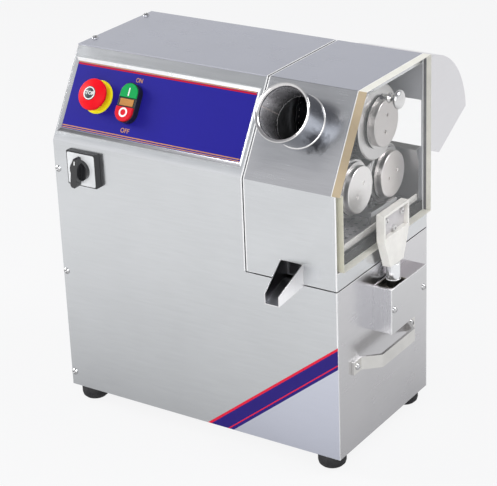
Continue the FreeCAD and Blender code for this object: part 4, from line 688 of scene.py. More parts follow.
class Maker:
    """Modelling moves, made with Blender's own operators."""

    SEED = 1.0 * MM
    DOUBLE = 0.01 * MM
    CAD_DOUBLE = 0.005 * MM
    CAD_FLAT = 0.8

    @staticmethod
    def rest() -> None:
        """Leave edit mode with nothing selected."""
        if bpy.context.mode != "OBJECT":
            bpy.ops.object.mode_set(mode="OBJECT")
        bpy.ops.object.select_all(action="DESELECT")

    @classmethod
    def take(cls, piece: Piece) -> None:
        """Make a piece the only selected and active one.

        Args:
            piece: the piece.
        """
        cls.rest()
        piece.select_set(True)
        bpy.context.view_layer.objects.active = piece

    @classmethod
    def edit(cls, piece: Piece) -> None:
        """Go into edit mode with all of a piece selected.

        Args:
            piece: the piece.
        """
        cls.take(piece)
        bpy.ops.object.mode_set(mode="EDIT")
        bpy.ops.mesh.select_mode(type="VERT")
        bpy.ops.mesh.select_all(action="SELECT")

    @classmethod
    def trace(cls, name: str, points: Sequence[Point], closed: bool = False) -> Piece:
        """Draw a line of edges through points, and fill it if it is closed.

        Args:
            name: the piece's name.
            points: the corners in metres.
            closed: whether the line ends where it starts, as a face.

        Returns:
            The piece.
        """
        cls.rest()
        corners = [Vector(point) for point in points]
        bpy.ops.mesh.primitive_plane_add(size=cls.SEED, location=corners[0])
        piece = bpy.context.object
        piece.name = name
        piece.data.name = name
        cls.edit(piece)
        bpy.ops.mesh.merge(type="CENTER")
        for here, there in zip(corners, corners[1:]):
            move = {"value": there - here}
            bpy.ops.mesh.extrude_vertices_move(TRANSFORM_OT_translate=move)
        if closed:
            bpy.ops.mesh.select_all(action="SELECT")
            bpy.ops.mesh.edge_face_add()
        cls.rest()
        return cls.settle(piece)

    @classmethod
    def settle(cls, piece: Piece, place: Matrix | None = None) -> Piece:
        """Put a piece's place into its mesh.

        Args:
            piece: the piece.
            place: where it goes first, if it moves.

        Returns:
            The piece.
        """
        if place is not None:
            piece.matrix_world = place
        cls.take(piece)
        bpy.ops.object.transform_apply(location=True, rotation=True, scale=True)
        return piece

    @classmethod
    def outwards(cls, piece: Piece) -> Piece:
        """Merge doubled points and point the faces outwards.

        Args:
            piece: the piece.

        Returns:
            The piece.
        """
        cls.edit(piece)
        bpy.ops.mesh.remove_doubles(threshold=cls.DOUBLE)
        bpy.ops.mesh.select_all(action="SELECT")
        bpy.ops.mesh.normals_make_consistent(inside=False)
        cls.rest()
        return piece

    @classmethod
    def plate(cls, name: str, outline: Sequence[Point], depth: Point) -> Piece:
        """Fill an outline and give it a thickness.

        Args:
            name: the piece's name.
            outline: its corners in metres.
            depth: the move from the outline to the other face.

        Returns:
            The piece.
        """
        piece = cls.trace(name, outline, closed=True)
        cls.edit(piece)
        bpy.ops.mesh.extrude_region_move(TRANSFORM_OT_translate={"value": depth})
        return cls.outwards(piece)

    @classmethod
    def turned(cls, name: str, profile: Sequence[Pair], place: Matrix,
               steps: int = 64, smooth: float = SHARP) -> Piece:
        """Turn a profile about its own Z axis, and put it in its place.

        Args:
            name: the piece's name.
            profile: (radius, height) corners in millimetres, closed if it ends where it starts.
            place: where the piece's own axes lie.
            steps: faces around.
            smooth: the angle in degrees below which edges are smooth.

        Returns:
            The piece.
        """
        points = [(radius * MM, 0.0, height * MM) for radius, height in profile]
        piece = cls.trace(name, points)
        cls.edit(piece)
        bpy.ops.mesh.spin(steps=steps, angle=2 * math.pi, center=(0, 0, 0), axis=(0, 0, 1))
        cls.outwards(piece)
        return cls.smoothed(cls.settle(piece, place), smooth)

    @classmethod
    def smoothed(cls, piece: Piece, angle: float = SHARP) -> Piece:
        """Shade a piece smooth where its edges are blunter than an angle.

        Args:
            piece: the piece.
            angle: the angle in degrees.

        Returns:
            The piece.
        """
        cls.take(piece)
        bpy.ops.object.shade_smooth_by_angle(angle=math.radians(angle))
        return piece

    @classmethod
    def sliced(cls, piece: Piece, axis: Axis, *places: float) -> None:
        """Cut a piece's faces across an axis without parting it.

        Args:
            piece: the piece.
            axis: the axis that the cuts stand across.
            places: where they lie, in millimetres.
        """
        for place in places:
            cls.edit(piece)
            bpy.ops.mesh.bisect(plane_co=axis.pick(place * MM, 0.0), plane_no=axis.pick(1.0, 0.0))
        cls.rest()

    @classmethod
    def bevelled(cls, piece: Piece, width: float, segments: int = 3, angle: float = SHARP,
                 mark: int = -1) -> Piece:
        """Round a piece's sharp edges and keep its flat faces flat.

        Args:
            piece: the piece.
            width: the round's size in millimetres.
            segments: faces across the round.
            angle: edges sharper than this, in degrees, are rounded.
            mark: the material slot that the rounds get, or -1 for their faces' own.

        Returns:
            The piece.
        """
        cls.take(piece)
        bevel = piece.modifiers.new("Edges", "BEVEL")
        bevel.width = width * MM
        bevel.segments = segments
        bevel.limit_method = "ANGLE"
        bevel.angle_limit = math.radians(angle)
        bevel.use_clamp_overlap = True
        bevel.harden_normals = True
        bevel.material = mark
        bpy.ops.object.modifier_apply(modifier=bevel.name)
        return piece

    @classmethod
    def rounded_copy(cls, node: str, width: float, segments: int, angle: float) -> Piece:
        """Copy a CAD node, round its edges, and let the copy stand for it.

        Args:
            node: the CAD node's name.
            width: the round's size in millimetres.
            segments: faces across the round.
            angle: edges sharper than this, in degrees, are rounded.

        Returns:
            The copy.
        """
        cls.rest()
        source = frame["nodes"][node]
        piece = bpy.data.objects.new(f"{node}.finished", source.data.copy())
        bpy.context.scene.collection.objects.link(piece)
        piece.data.materials.clear()
        for _ in ("faces", "rounds"):
            piece.data.materials.append(None)
        cls.edit(piece)
        bpy.ops.mesh.customdata_custom_splitnormals_clear()
        bpy.ops.mesh.remove_doubles(threshold=cls.CAD_DOUBLE)
        bpy.ops.mesh.select_all(action="SELECT")
        bpy.ops.mesh.dissolve_limited(angle_limit=math.radians(cls.CAD_FLAT))
        cls.rest()
        cls.smoothed(piece, angle)
        cls.bevelled(piece, width, segments, angle, 1)
        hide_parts(node)
        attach(piece, source["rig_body"])
        return piece

    @classmethod
    def lettering(cls, name: str, words: str, height: float, thickness: float,
                  place: Matrix) -> Piece:
        """Make raised letters as a mesh, centred on their place.

        Args:
            name: the piece's name.
            words: what they say.
            height: the letters' size in millimetres.
            thickness: how far they stand up, in millimetres.
            place: where they lie, facing along its Z axis.

        Returns:
            The piece.
        """
        size_of_capitals, boldness = 1.4, 0.012
        cls.rest()
        bpy.ops.object.text_add(location=(0, 0, 0))
        text = bpy.context.object
        text.name = name
        text.data.body = words
        text.data.size = height * MM * size_of_capitals
        text.data.align_x = "CENTER"
        text.data.align_y = "CENTER"
        text.data.extrude = thickness * MM / 2
        text.data.offset = boldness * height * MM
        bpy.ops.object.convert(target="MESH")
        raised = place @ Matrix.Translation((0, 0, thickness * MM / 2))
        return cls.outwards(cls.settle(bpy.context.object, raised))


class Dresser:
    """Hands out materials, built once for each finish, and puts pieces on bodies."""

    def __init__(self) -> None:
        """Start with no material built."""
        self.built: dict[Finish, Material] = {}

    def material(self, finish: Finish) -> Material:
        """The material of a finish.

        Args:
            finish: the finish.

        Returns:
            Its material, built the first time.
        """
        if finish not in self.built:
            self.built[finish] = finish.build()
        return self.built[finish]

    def dress(self, piece: Piece, finish: Finish) -> None:
        """Give a whole piece one finish.

        Args:
            piece: the piece.
            finish: the finish.
        """
        piece.data.materials.clear()
        piece.data.materials.append(self.material(finish))
        for face in piece.data.polygons:
            face.material_index = 0

    def nodes(self, finish: Finish, *names: str) -> None:
        """Give CAD nodes a finish.

        Args:
            finish: the finish.
            names: the nodes.
        """
        for name in names:
            self.dress(frame["nodes"][name], finish)
            LOG.info("%s dressed in %s", name, finish.name)

    def paint(self, piece: Piece, finish: Finish, chosen: Test) -> None:
        """Give some faces of a piece a further finish.

        Args:
            piece: the piece.
            finish: the finish.
            chosen: the test that picks the faces.
        """
        piece.data.materials.append(self.material(finish))
        index = len(piece.data.materials) - 1
        for face in piece.data.polygons:
            if chosen(face):
                face.material_index = index

    def mount(self, piece: Piece, finish: Finish, slot: Slot, body: Body = Body.CABINET) -> None:
        """Dress a new piece and put it on a body.

        Args:
            piece: the piece.
            finish: its finish.
            slot: not used.
            body: the body that carries it.
        """
        self.dress(piece, finish)
        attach(piece, body.value)
        LOG.info("%s made, %d faces", piece.name, len(piece.data.polygons))

    def copy_of(self, node: str, finish: Finish, slot: Slot, width: float, segments: int = 3,
                angle: float = SHARP, edge: Finish | None = None) -> Piece:
        """Round and dress a copy that stands for a CAD node.

        Args:
            node: the CAD node's name.
            finish: its finish.
            slot: not used.
            width: the edges' round in millimetres.
            segments: faces across the round.
            angle: edges sharper than this, in degrees, are rounded.
            edge: the finish of its rounded edges, where that differs, such as a painted highlight.

        Returns:
            The copy.
        """
        piece = Maker.rounded_copy(node, width, segments, angle)
        if edge is None:
            self.dress(piece, finish)
        else:
            piece.data.materials[0] = self.material(finish)
            piece.data.materials[1] = self.material(edge)
        LOG.info("%s rounded, %d faces", piece.name, len(piece.data.polygons))
        return piece


# ---------------------------------------------------------------- shared places


@dataclass(frozen=True)
class Slope:
    """The tilted plane of the front, measured across, along it from its bend, and outwards."""

    front: float = -119.0
    bend: float = 370.0
    tilt: float = 31.3

    def place(self, across: float, along: float, lift: float) -> Matrix:
        """Axes that lie on the slope and face outwards.

        Args:
            across: how far to the right they lie, in millimetres.
            along: how far up the slope from its bend.
            lift: how far over it.

        Returns:
            The axes.
        """
        lean = math.radians(self.tilt)
        depth = self.front + along * math.sin(lean) - lift * math.cos(lean)
        height = self.bend + along * math.cos(lean) + lift * math.sin(lean)
        turn = Matrix.Rotation(math.pi / 2 - lean, 4, "X")
        return Matrix.Translation(Vector((across, depth, height)) * MM) @ turn

    def spot(self, across: float, along: float, lift: float) -> Vector:
        """The point at a place on the slope."""
        return self.place(across, along, lift).translation

    def outwards(self) -> Vector:
        """The direction that faces away from the slope."""
        return self.place(0, 0, 0).to_quaternion() @ Vector((0, 0, 1))

    def upwards(self) -> Vector:
        """The direction up along the slope."""
        return self.place(0, 0, 0).to_quaternion() @ Vector((0, 1, 0))


SLOPE = Slope()
FACING_FRONT = Matrix.Rotation(math.pi / 2, 4, "X")
FACING_RIGHT = Matrix.Rotation(math.pi / 2, 4, "Y")


def rectangle(left: float, low: float, right: float, high: float, lift: float) -> list[Point]:
    """The corners in metres of a rectangle given in millimetres, at a lift over its plane."""
    corners = ((left, low), (right, low), (right, high), (left, high))
    return [(across * MM, along * MM, lift * MM) for across, along in corners]


def rounded_outline(half_long: float, half_wide: float, corner: float,
                    steps: int) -> list[Point]:
    """A rectangle about the origin with round corners.

    Args:
        half_long: half its size along Y, in millimetres.
        half_wide: half its size along X, in millimetres.
        corner: the corners' radius in millimetres.
        steps: the points of each corner, less one.

    Returns:
        The corners in metres.
    """
    points = []
    for turn, (side, end) in enumerate(((1, 1), (-1, 1), (-1, -1), (1, -1))):
        for step in range(steps + 1):
            angle = math.pi / 2 * (turn + step / steps)
            across = side * (half_wide - corner) + corner * math.cos(angle)
            along = end * (half_long - corner) + corner * math.sin(angle)
            points.append((across * MM, along * MM, 0.0))
    return points


# ---------------------------------------------------------------- finishes of this machine

FRONT_SHEET = BrushedSteel("front_sheet", Axis.X, (0.685, 0.70, 0.715), 0.22)
# painted shade: slope faces get darker copies of the front's steel; the cabinet slope is painted
# lighter near its foot, and the housing slope carries a painted shadow by the tube's foot
SLOPE_SHEET_SHADED = BrushedSteel("slope_sheet_shaded", Axis.X, (0.53, 0.54, 0.555), 0.22,
                           height_light=(0.37, 0.42, 1.38))
HOUSING_SLOPE_SHADED = BrushedSteel("housing_slope_shaded", Axis.X, (0.46, 0.465, 0.485), 0.24, 0.08,
                             shadow_spot=tuple(SLOPE.spot(175.0, 64.0, 0.0)), shadow_reach=19.0 * MM)
# painted highlight: a bright tone for rounded sheet edges, the strips by the seam and corner, the
# box's edges and the post's ring
SHEET_EDGE_HIGHLIGHT = PolishedSteel("sheet_edge_highlight", (0.97, 0.96, 0.965), 0.3, metallic=0.35)
# painted shade: a dark tone on the rounded bend between the slope and the top
SHEET_BEND_SHADE = PolishedSteel("sheet_bend_shade", (0.22, 0.225, 0.24), 0.3)
# painted light and shade for the pan's borders: highlight, half shade and shade
PAN_EDGE_HIGHLIGHT = PolishedSteel("pan_edge_highlight", (0.98, 0.98, 0.985), 0.25, metallic=0.3)
PAN_EDGE_HALF_SHADE = PolishedSteel("pan_edge_half_shade", (0.62, 0.63, 0.65), 0.25, metallic=0.8)
PAN_EDGE_SHADE = PolishedSteel("pan_edge_shade", (0.20, 0.20, 0.21), 0.35)
SIDE_SHEET = BrushedSteel("side_sheet", Axis.Y, (0.68, 0.675, 0.69), 0.24)
# painted light: a duller, less metallic copy of the steel for the back sheet's inner face, in place
# of light in the chamber
BACK_INSIDE_LIT = BrushedSteel("back_inside_lit", Axis.X, (0.50, 0.505, 0.545), 0.4, metallic=0.4)
# painted shade: a darker, bluer copy of the steel for faces that look up
TOP_SHEET_SHADED = BrushedSteel("top_sheet_shaded", Axis.X, (0.53, 0.54, 0.605), 0.24)
INNER_SHEET = BrushedSteel("inner_sheet", Axis.Y, (0.55, 0.555, 0.575), 0.34)
# painted light: a paler copy of the inner steel for the strainer in the shaded chamber
STRAINER_SHEET_LIT = BrushedSteel("strainer_sheet_lit", Axis.Y, (0.84, 0.80, 0.84), 0.4, metallic=0.6)
HOOD_SHEET = BrushedSteel("hood_sheet", Axis.Y, (0.75, 0.745, 0.765), 0.3, 0.02, 1.4 * MM)
BOX_SHEET = BrushedSteel("box_sheet", Axis.Y, (0.66, 0.66, 0.67), 0.24)
# painted light and shade on one box: a lighter front, a darker, warmer top, and a dull brown shade
# inside the slot
BOX_FRONT_LIT = BrushedSteel("box_front", Axis.Z, (0.76, 0.76, 0.79), 0.26)
BOX_TOP_SHADED = BrushedSteel("box_top_shaded", Axis.Y, (0.64, 0.60, 0.62), 0.34)
BOX_INSIDE_SHADE = CastMetal("box_inside_shade", (0.34, 0.31, 0.27), 0.2, 0.6)
PLATE_STEEL = BrushedSteel("plate_steel", Axis.Z, (0.46, 0.47, 0.49), 0.36, 0.08)
TUBE_STEEL = PolishedSteel("tube_steel", (0.30, 0.315, 0.345), 0.17, 0.12)
# painted highlights: brighter copies of the tube's steel for its lip and its weld bead
LIP_HIGHLIGHT = PolishedSteel("lip_highlight", (0.74, 0.73, 0.725), 0.1)
WELD_HIGHLIGHT = PolishedSteel("weld_highlight", (0.86, 0.85, 0.85), 0.2, metallic=0.7)
SPOUT_STEEL = PolishedSteel("spout_steel", (0.90, 0.89, 0.88), 0.12, 0.1, 0.9)
# painted light: a pale tone for the hood's inner faces
HOOD_INSIDE_LIT = PolishedSteel("hood_inside_lit", (0.90, 0.87, 0.85), 0.4)
SCREW_STEEL = PolishedSteel("screw_steel", (0.58, 0.58, 0.585), 0.14)
CHROME = PolishedSteel("bright_chrome", (0.72, 0.715, 0.715), 0.06, 0.03)
POST_STEEL = PolishedSteel("post_steel", (0.86, 0.87, 0.89), 0.12, 0.06, 0.82)
# painted shadow: a dark tone for the post below the slot's top
POST_SHADOW = PolishedSteel("post_shadow", (0.10, 0.10, 0.095), 0.35)
HANDLE_STEEL = PolishedSteel("handle_steel", (0.77, 0.76, 0.735), 0.18)
# painted shade: the rollers' barrels are painted near black
BARREL_SHADE = PolishedSteel("barrel_side_shade", (0.012, 0.012, 0.013), 0.5)
MACHINED = PolishedSteel("machined_steel", (0.42, 0.42, 0.43), 0.28, 0.1)
BLACK = Plastic("black_plastic", (0.012, 0.012, 0.014), 0.32, 0.2)
BLACK_KNOB = Plastic("black_knob", (0.01, 0.01, 0.012), 0.25, 0.5)
SILVER_FACE = Plastic("switch_face_print", (0.78, 0.79, 0.80), 0.3, 0.2)
EMBLEM_DARK = Plastic("emblem_dark", (0.03, 0.045, 0.05), 0.3)
WHITE = Plastic("white_print", (0.86, 0.86, 0.85), 0.4)
RED = Plastic("red_plastic", (0.82, 0.005, 0.014), 0.45, 0.0, 0.12)
KEY_RED = Plastic("key_red", (0.68, 0.008, 0.022), 0.4, 0.0, 0.15)
KEY_GREEN = Plastic("key_green", (0.0, 0.33, 0.075), 0.4, 0.0, 0.15)
YELLOW = Plastic("yellow_plastic", (0.98, 0.83, 0.012), 0.45, 0.0, 0.15)
AMBER = Plastic("amber_lens", (0.48, 0.2, 0.03), 0.35, 0.1)
# painted light and shade on the guard's opaque edges: a pale lit tone that is partly the edge's own
# tint, and darker tones by facing
GUARD_EDGE_LIT = Plastic("guard_edge_lit", (0.84, 0.82, 0.74), 0.3, 0.3)
GUARD_FRONT_EDGE_SHADE = Plastic("guard_front_edge_shade", (0.60, 0.58, 0.47), 0.3, 0.3)
GUARD_SLOPE_EDGE_SHADE = Plastic("guard_slope_edge_shade", (0.47, 0.375, 0.25), 0.3, 0.2)
GUARD_BACK_EDGE_SHADE = Plastic("guard_back_edge_shade", (0.13, 0.13, 0.14), 0.3, 0.2)
# painted highlight: a pale tone for the tray's right rail and its rolled edge
TRAY_EDGE_HIGHLIGHT = Plastic("tray_edge_highlight", (0.70, 0.68, 0.65), 0.3, 0.3)
CLEAR_BLOCK = Plastic("clear_block", (0.82, 0.80, 0.76), 0.16, 0.6)
# painted shade: a darker copy for the pocket faces of the clear block
BLOCK_POCKET_SHADE = Plastic("block_pocket_shade", (0.55, 0.53, 0.54), 0.2, 0.6)
GUARD_FACE = ClearSheet("guard_face")
RUBBER = SoftRubber("black_rubber")
BELT = SoftRubber("belt_rubber", (0.02, 0.02, 0.021))
MOTOR_PAINT = CastMetal("motor_paint", (0.03, 0.07, 0.14))
CAST_ALUMINIUM = CastMetal("cast_aluminium", (0.5, 0.5, 0.52), 0.9, 0.45)
CAST_PULLEY = CastMetal("cast_pulley", (0.2, 0.2, 0.21), 0.85, 0.4)
LABEL_BLUE = PrintedFilm("label_blue", (0.020, 0.016, 0.29), (0.015, 0.012, 0.24))
LINE_GOLD = PrintedFilm("line_gold", (0.68, 0.32, 0.11), (0.56, 0.26, 0.08))
LINE_RED = PrintedFilm("line_red", (0.6, 0.01, 0.02), (0.45, 0.005, 0.015))
STRIPE_BLUE = PrintedFilm("stripe_blue", (0.024, 0.013, 0.19), (0.018, 0.009, 0.15))
STRIPE_RED = PrintedFilm("stripe_red", (0.75, 0.015, 0.05), (0.6, 0.01, 0.04))
FILM_CLEAR = BrushedSteel("clear_film", Axis.X, (0.74, 0.765, 0.87), 0.16, 0.03)


# ---------------------------------------------------------------- the machine


@dataclass
class SubAssembly(ABC):
    """A group of pieces that builds and dresses itself."""

    dresser: Dresser

    @abstractmethod
    def build(self) -> None:
        """Make and dress all of it."""


@dataclass
class Cabinet(SubAssembly):
    """The sheets, feet, screws, handle and the film stripe on the front."""

    sheet_round: float = 0.7
    seam: Pair = (83.0, 84.6)
    corner: float = 220.0
    seam_foot: float = 242.0
    strip: float = 1.8
    back: float = 118.0
    top: float = 480.0
    stripe_left: float = 12.0
    stripe_right: float = 219.4
    stripe_start: float = 0.3
    stripe_rise: float = 164.0
    stripe_foot: float = 42.0
    stripe_drop: float = 31.0
    film: float = 0.15

    def build(self) -> None:
        """Make and dress all of it."""
        for node, finish in (("front_panel", FRONT_SHEET), ("roller_housing", FRONT_SHEET),
                             ("right_side_panel", SIDE_SHEET), ("left_side_panel", SIDE_SHEET),
                             ("top_cover", TOP_SHEET_SHADED), ("back_panel", FRONT_SHEET)):
            self._sheet(node, finish)
        self.dresser.nodes(FRONT_SHEET, "base_plate")
        self.dresser.copy_of("carry_handle", HANDLE_STEEL, Slot.BRUSHED, 0.9)
        self.dresser.copy_of("rubber_feet", RUBBER, Slot.RUBBER, 0.8, 2, BLUNT)
        self.dresser.nodes(SCREW_STEEL, "cover_screws")
        self.dresser.nodes(BLACK, "cable_gland")
        self._stripe()

    def _sheet(self, node: str, finish: Finish) -> None:
        """Round the edges of a sheet and dress its faces, bends and strips in painted light and
        shade: highlights on rounds and strips, shade on the top bend, darker slope and top, a lit
        inner back face.

        Args:
            node: the sheet's CAD node.
            finish: the finish of its plain faces.
        """
        # painted highlight on the sheet's rounded edges
        sheet = self.dresser.copy_of(node, finish, Slot.BRUSHED, self.sheet_round, edge=SHEET_EDGE_HIGHLIGHT)
        Maker.sliced(sheet, Axis.X, self.seam[0] - self.strip, self.seam[1] + self.strip,
                     self.corner - self.strip)
        Maker.sliced(sheet, Axis.Z, self.seam_foot)
        # painted shade: darker copies of the steel on slope and top faces
        slope = HOUSING_SLOPE_SHADED if node == "roller_housing" else SLOPE_SHEET_SHADED
        self.dresser.paint(sheet, slope, lambda face: face.area > LARGE_FACE
                           and face.normal.y < -0.6 and face.normal.z > 0.4)
        self.dresser.paint(sheet, TOP_SHEET_SHADED, lambda face: face.area > LARGE_FACE
                           and face.normal.z > STRAIGHT)
        # painted shade on the bend between the slope and the top
        self.dresser.paint(sheet, SHEET_BEND_SHADE, lambda face: face.center.z > self.top * MM
                           and face.normal.z > 0.6 and -0.84 < face.normal.y < -0.05)
        # painted highlight on strips beside the seam and the right corner
        if node in ("front_panel", "roller_housing", "top_cover"):
            self.dresser.paint(sheet, SHEET_EDGE_HIGHLIGHT, self._on_highlight_strip)
        # painted light on the back sheet's inner face
        if node == "back_panel":
            self.dresser.paint(sheet, BACK_INSIDE_LIT, lambda face: face.normal.y < -STRAIGHT)

    def _on_highlight_strip(self, face: Face) -> bool:
        """Whether a face lies on a strip beside the seam or along the right corner, painted as a
        highlight.

        Args:
            face: the face.

        Returns:
            Whether it does.
        """
        across, depth, height = face.center / MM
        beside = self.seam[0] - self.strip < across < self.seam[1] + self.strip
        near = beside and height > self.seam_foot or across > self.corner - self.strip
        return near and abs(face.normal.x) < 0.5 and face.normal.y < 0.1 and depth < self.back

    def _stripe(self) -> None:
        """Lay the slanted film stripe on the front: a band, two thin lines, a clear corner."""
        for name, finish, start, end, lift in (
            ("stripe_band", STRIPE_BLUE, 0.0, 1.0, 0.05),
            ("stripe_top_line", STRIPE_RED, 0.0, 0.13, 0.12),
            ("stripe_low_line", STRIPE_RED, 0.78, 0.84, 0.12),
        ):
            (near, near_rise), (far, far_rise) = self._stripe_edge(start), self._stripe_edge(end)
            corners = ((near, self.stripe_start), (far, self.stripe_start),
                       (self.stripe_right, far_rise), (self.stripe_right, near_rise))
            piece = self._front_film(name, corners, self.film + lift, self.film)
            finished = Maker.bevelled(piece, 0.05, 1)
            self.dresser.mount(finished, finish, Slot.BRUSHED)
        corners = ((self.stripe_left + self.stripe_foot, self.stripe_start),
                   (self.stripe_right, self.stripe_start),
                   (self.stripe_right, self.stripe_rise - self.stripe_drop))
        piece = self._front_film("stripe_clear_corner", corners, self.film, self.film * 0.8)
        self.dresser.mount(piece, FILM_CLEAR, Slot.BRUSHED)

    def _stripe_edge(self, share: float) -> Pair:
        """Where a line along the stripe starts at the foot and ends on the right side.

        Args:
            share: how far across the stripe it lies, from its top edge at 0 to its low one at 1.

        Returns:
            Its start from the middle and its height at the right, in millimetres.
        """
        reach = self.stripe_right - self.stripe_left
        rise = self.stripe_rise / reach
        low_rise = (self.stripe_rise - self.stripe_drop) / (reach - self.stripe_foot)
        foot = self.stripe_left + self.stripe_foot * share
        return foot, (rise + (low_rise - rise) * share) * (self.stripe_right - foot)

    @staticmethod
    def _front_film(name: str, corners: Sequence[Pair], lift: float,
                    thickness: float) -> Piece:
        """Lay a flat film on the front.

        Args:
            name: the piece's name.
            corners: (across, height) corners in millimetres.
            lift: how far its face stands off the sheet, in millimetres.
            thickness: its thickness in millimetres.

        Returns:
            The piece.
        """
        depth = (SLOPE.front - lift) * MM
        outline = [(across * MM, depth, height * MM) for across, height in corners]
        return Maker.plate(name, outline, (0, thickness * MM, 0))


@dataclass
class ControlPanel(SubAssembly):
    """The sunk panel with its printed film, the emergency stop, the twin button and the switch."""

    floor: float = -1.5
    film: float = 0.25
    left: float = -212.6
    right: float = 73.2
    low: float = 18.8
    high: float = 111.8
    line_inset: float = 0.6
    line_lift: float = 0.08
    word_height: float = 6.2
    print_thickness: float = 0.12
    stop: Pair = (-166.0, 68.0)
    stop_top: float = 21.6
    stop_crown: float = 37.4
    emblem: tuple[float, ...] = (0.0, 2.0, 4.0, 6.0, 7.4, 8.6, 9.4)
    emblem_lift: float = 0.15
    emblem_rim: Pair = (9.6, -0.1)
    ring: Pair = (7.4, 8.8)
    ring_lift: Pair = (0.1, 0.3)
    stop_word: float = 4.9
    stop_word_sink: float = 0.6
    twin: Pair = (-111.3, 66.4)
    twin_top: float = 9.5
    lens_rise: float = 0.1
    lens_reach: float = 14.0
    key_reach: float = 14.0
    on_rise: float = 1.0
    on_bar: tuple[float, float, float, int] = (5.6, 0.9, 0.6, 3)
    off_rise: float = 3.0
    off_ring: Pair = (4.1, 6.5)
    rotary: Pair = (-167.0, 339.5)
    face: tuple[float, float, float, int] = (22.4, 22.4, 2.6, 4)
    face_thickness: float = 0.25
    mark: tuple[float, float, float, int] = (2.8, 0.8, 0.6, 3)
    mark_thickness: float = 0.15
    mark_reach: float = 15.0
    mark_tilt: float = -8.0

    def build(self) -> None:
        """Make and dress all of it."""
        self._pan()
        self._film()
        self._emergency_stop()
        self._twin_button()
        self._rotary_switch()

    def _pan(self) -> None:
        """Dress the sunk pan with painted light and shade by facing: highlights on its top and
        right borders, half shade on the left, shade on the low one.
        """
        pan = self.dresser.copy_of("control_panel", FRONT_SHEET, Slot.BRUSHED, 0.3, 2)
        outwards, upwards = SLOPE.outwards(), SLOPE.upwards()
        across = Vector((1, 0, 0))
        # painted tones chosen by the way each border faces
        for direction, finish in ((-upwards, PAN_EDGE_HIGHLIGHT), (-across, PAN_EDGE_HIGHLIGHT), (across, PAN_EDGE_HALF_SHADE),
                                  (upwards, PAN_EDGE_SHADE)):
            self.dresser.paint(pan, finish, lambda face: face.normal.dot(direction) > 0.25
                               and face.normal.dot(outwards) > 0.1)

    def _on_film(self, name: str, corners: Sequence[Point], finish: Finish) -> None:
        """Lay a flat printed piece on the slope.

        Args:
            name: the piece's name.
            corners: its corners in metres, on the slope's own axes.
            finish: its finish.
        """
        piece = Maker.plate(name, corners, (0, 0, self.film * MM))
        Maker.settle(piece, SLOPE.place(0, 0, 0))
        self.dresser.mount(piece, finish, Slot.BLACK)

    def _film(self) -> None:
        """Lay the blue film, its thin lines and the words by the twin button."""
        label = rectangle(self.left, self.low, self.right, self.high, self.floor)
        self._on_film("panel_film", label, LABEL_BLUE)
        left, right = self.left + self.line_inset, self.right - self.line_inset
        for name, low, high, finish in (
            ("line_top_gold", self.high - 1.5, self.high - 0.3, LINE_GOLD),
            ("line_top_red", self.high - 4.2, self.high - 2.1, LINE_RED),
            ("line_low_gold", self.low + 3.6, self.low + 4.8, LINE_GOLD),
            ("line_low_red", self.low + 1.0, self.low + 2.0, LINE_GOLD),
        ):
            corners = rectangle(left, low, right, high, self.floor + self.line_lift)
            self._on_film(name, corners, finish)
        for name, words, across, along, squeeze in (
            ("word_on", "ON", -108.0, 99.0, 0.8),
            ("word_off", "OFF", -110.5, 30.2, 0.93),
        ):
            narrow = Matrix.Diagonal((squeeze, 1.0, 1.0, 1.0))
            place = SLOPE.place(across, along, self.floor + self.film) @ narrow
            piece = Maker.lettering(name, words, self.word_height, self.print_thickness, place)
            self.dresser.mount(piece, LINE_GOLD, Slot.BLACK)

    def _emergency_stop(self) -> None:
        """Dress the collar and the mushroom, and put the round emblem on the head."""
        self.dresser.copy_of("estop_body", YELLOW, Slot.YELLOW, 0.5, 2)
        self.dresser.nodes(BLACK, "estop_plunger")
        head = self.dresser.copy_of("estop_mushroom", RED, Slot.RED, 0.3, 2, BLUNT)
        Maker.smoothed(head, 60.0)

        def dome(reach: float, lift: float) -> Pair:
            """A point at a lift over the head's domed surface."""
            return reach, lift - (self.stop_crown - math.sqrt(self.stop_crown ** 2 - reach ** 2))

        place = SLOPE.place(*self.stop, self.stop_top)
        disc = [dome(reach, self.emblem_lift) for reach in self.emblem]
        disc.append(dome(*self.emblem_rim))
        (inner, outer), (low, high) = self.ring, self.ring_lift
        ring = [dome(inner, low), dome(inner, high), dome((inner + outer) / 2, high),
                dome(outer, high), dome(outer, low)]
        for name, profile, finish, slot in (("stop_emblem", disc, EMBLEM_DARK, Slot.BLACK),
                                            ("stop_ring", ring, WHITE, Slot.WHITE)):
            piece = Maker.turned(name, profile, place, RING_STEPS)
            self.dresser.mount(piece, finish, slot, Body.STOP_HEAD)
        place = SLOPE.place(*self.stop, self.stop_top - self.stop_word_sink)
        word = Maker.lettering("stop_word", "STOP", self.stop_word, 1.0, place)
        self.dresser.mount(word, WHITE, Slot.WHITE, Body.STOP_HEAD)

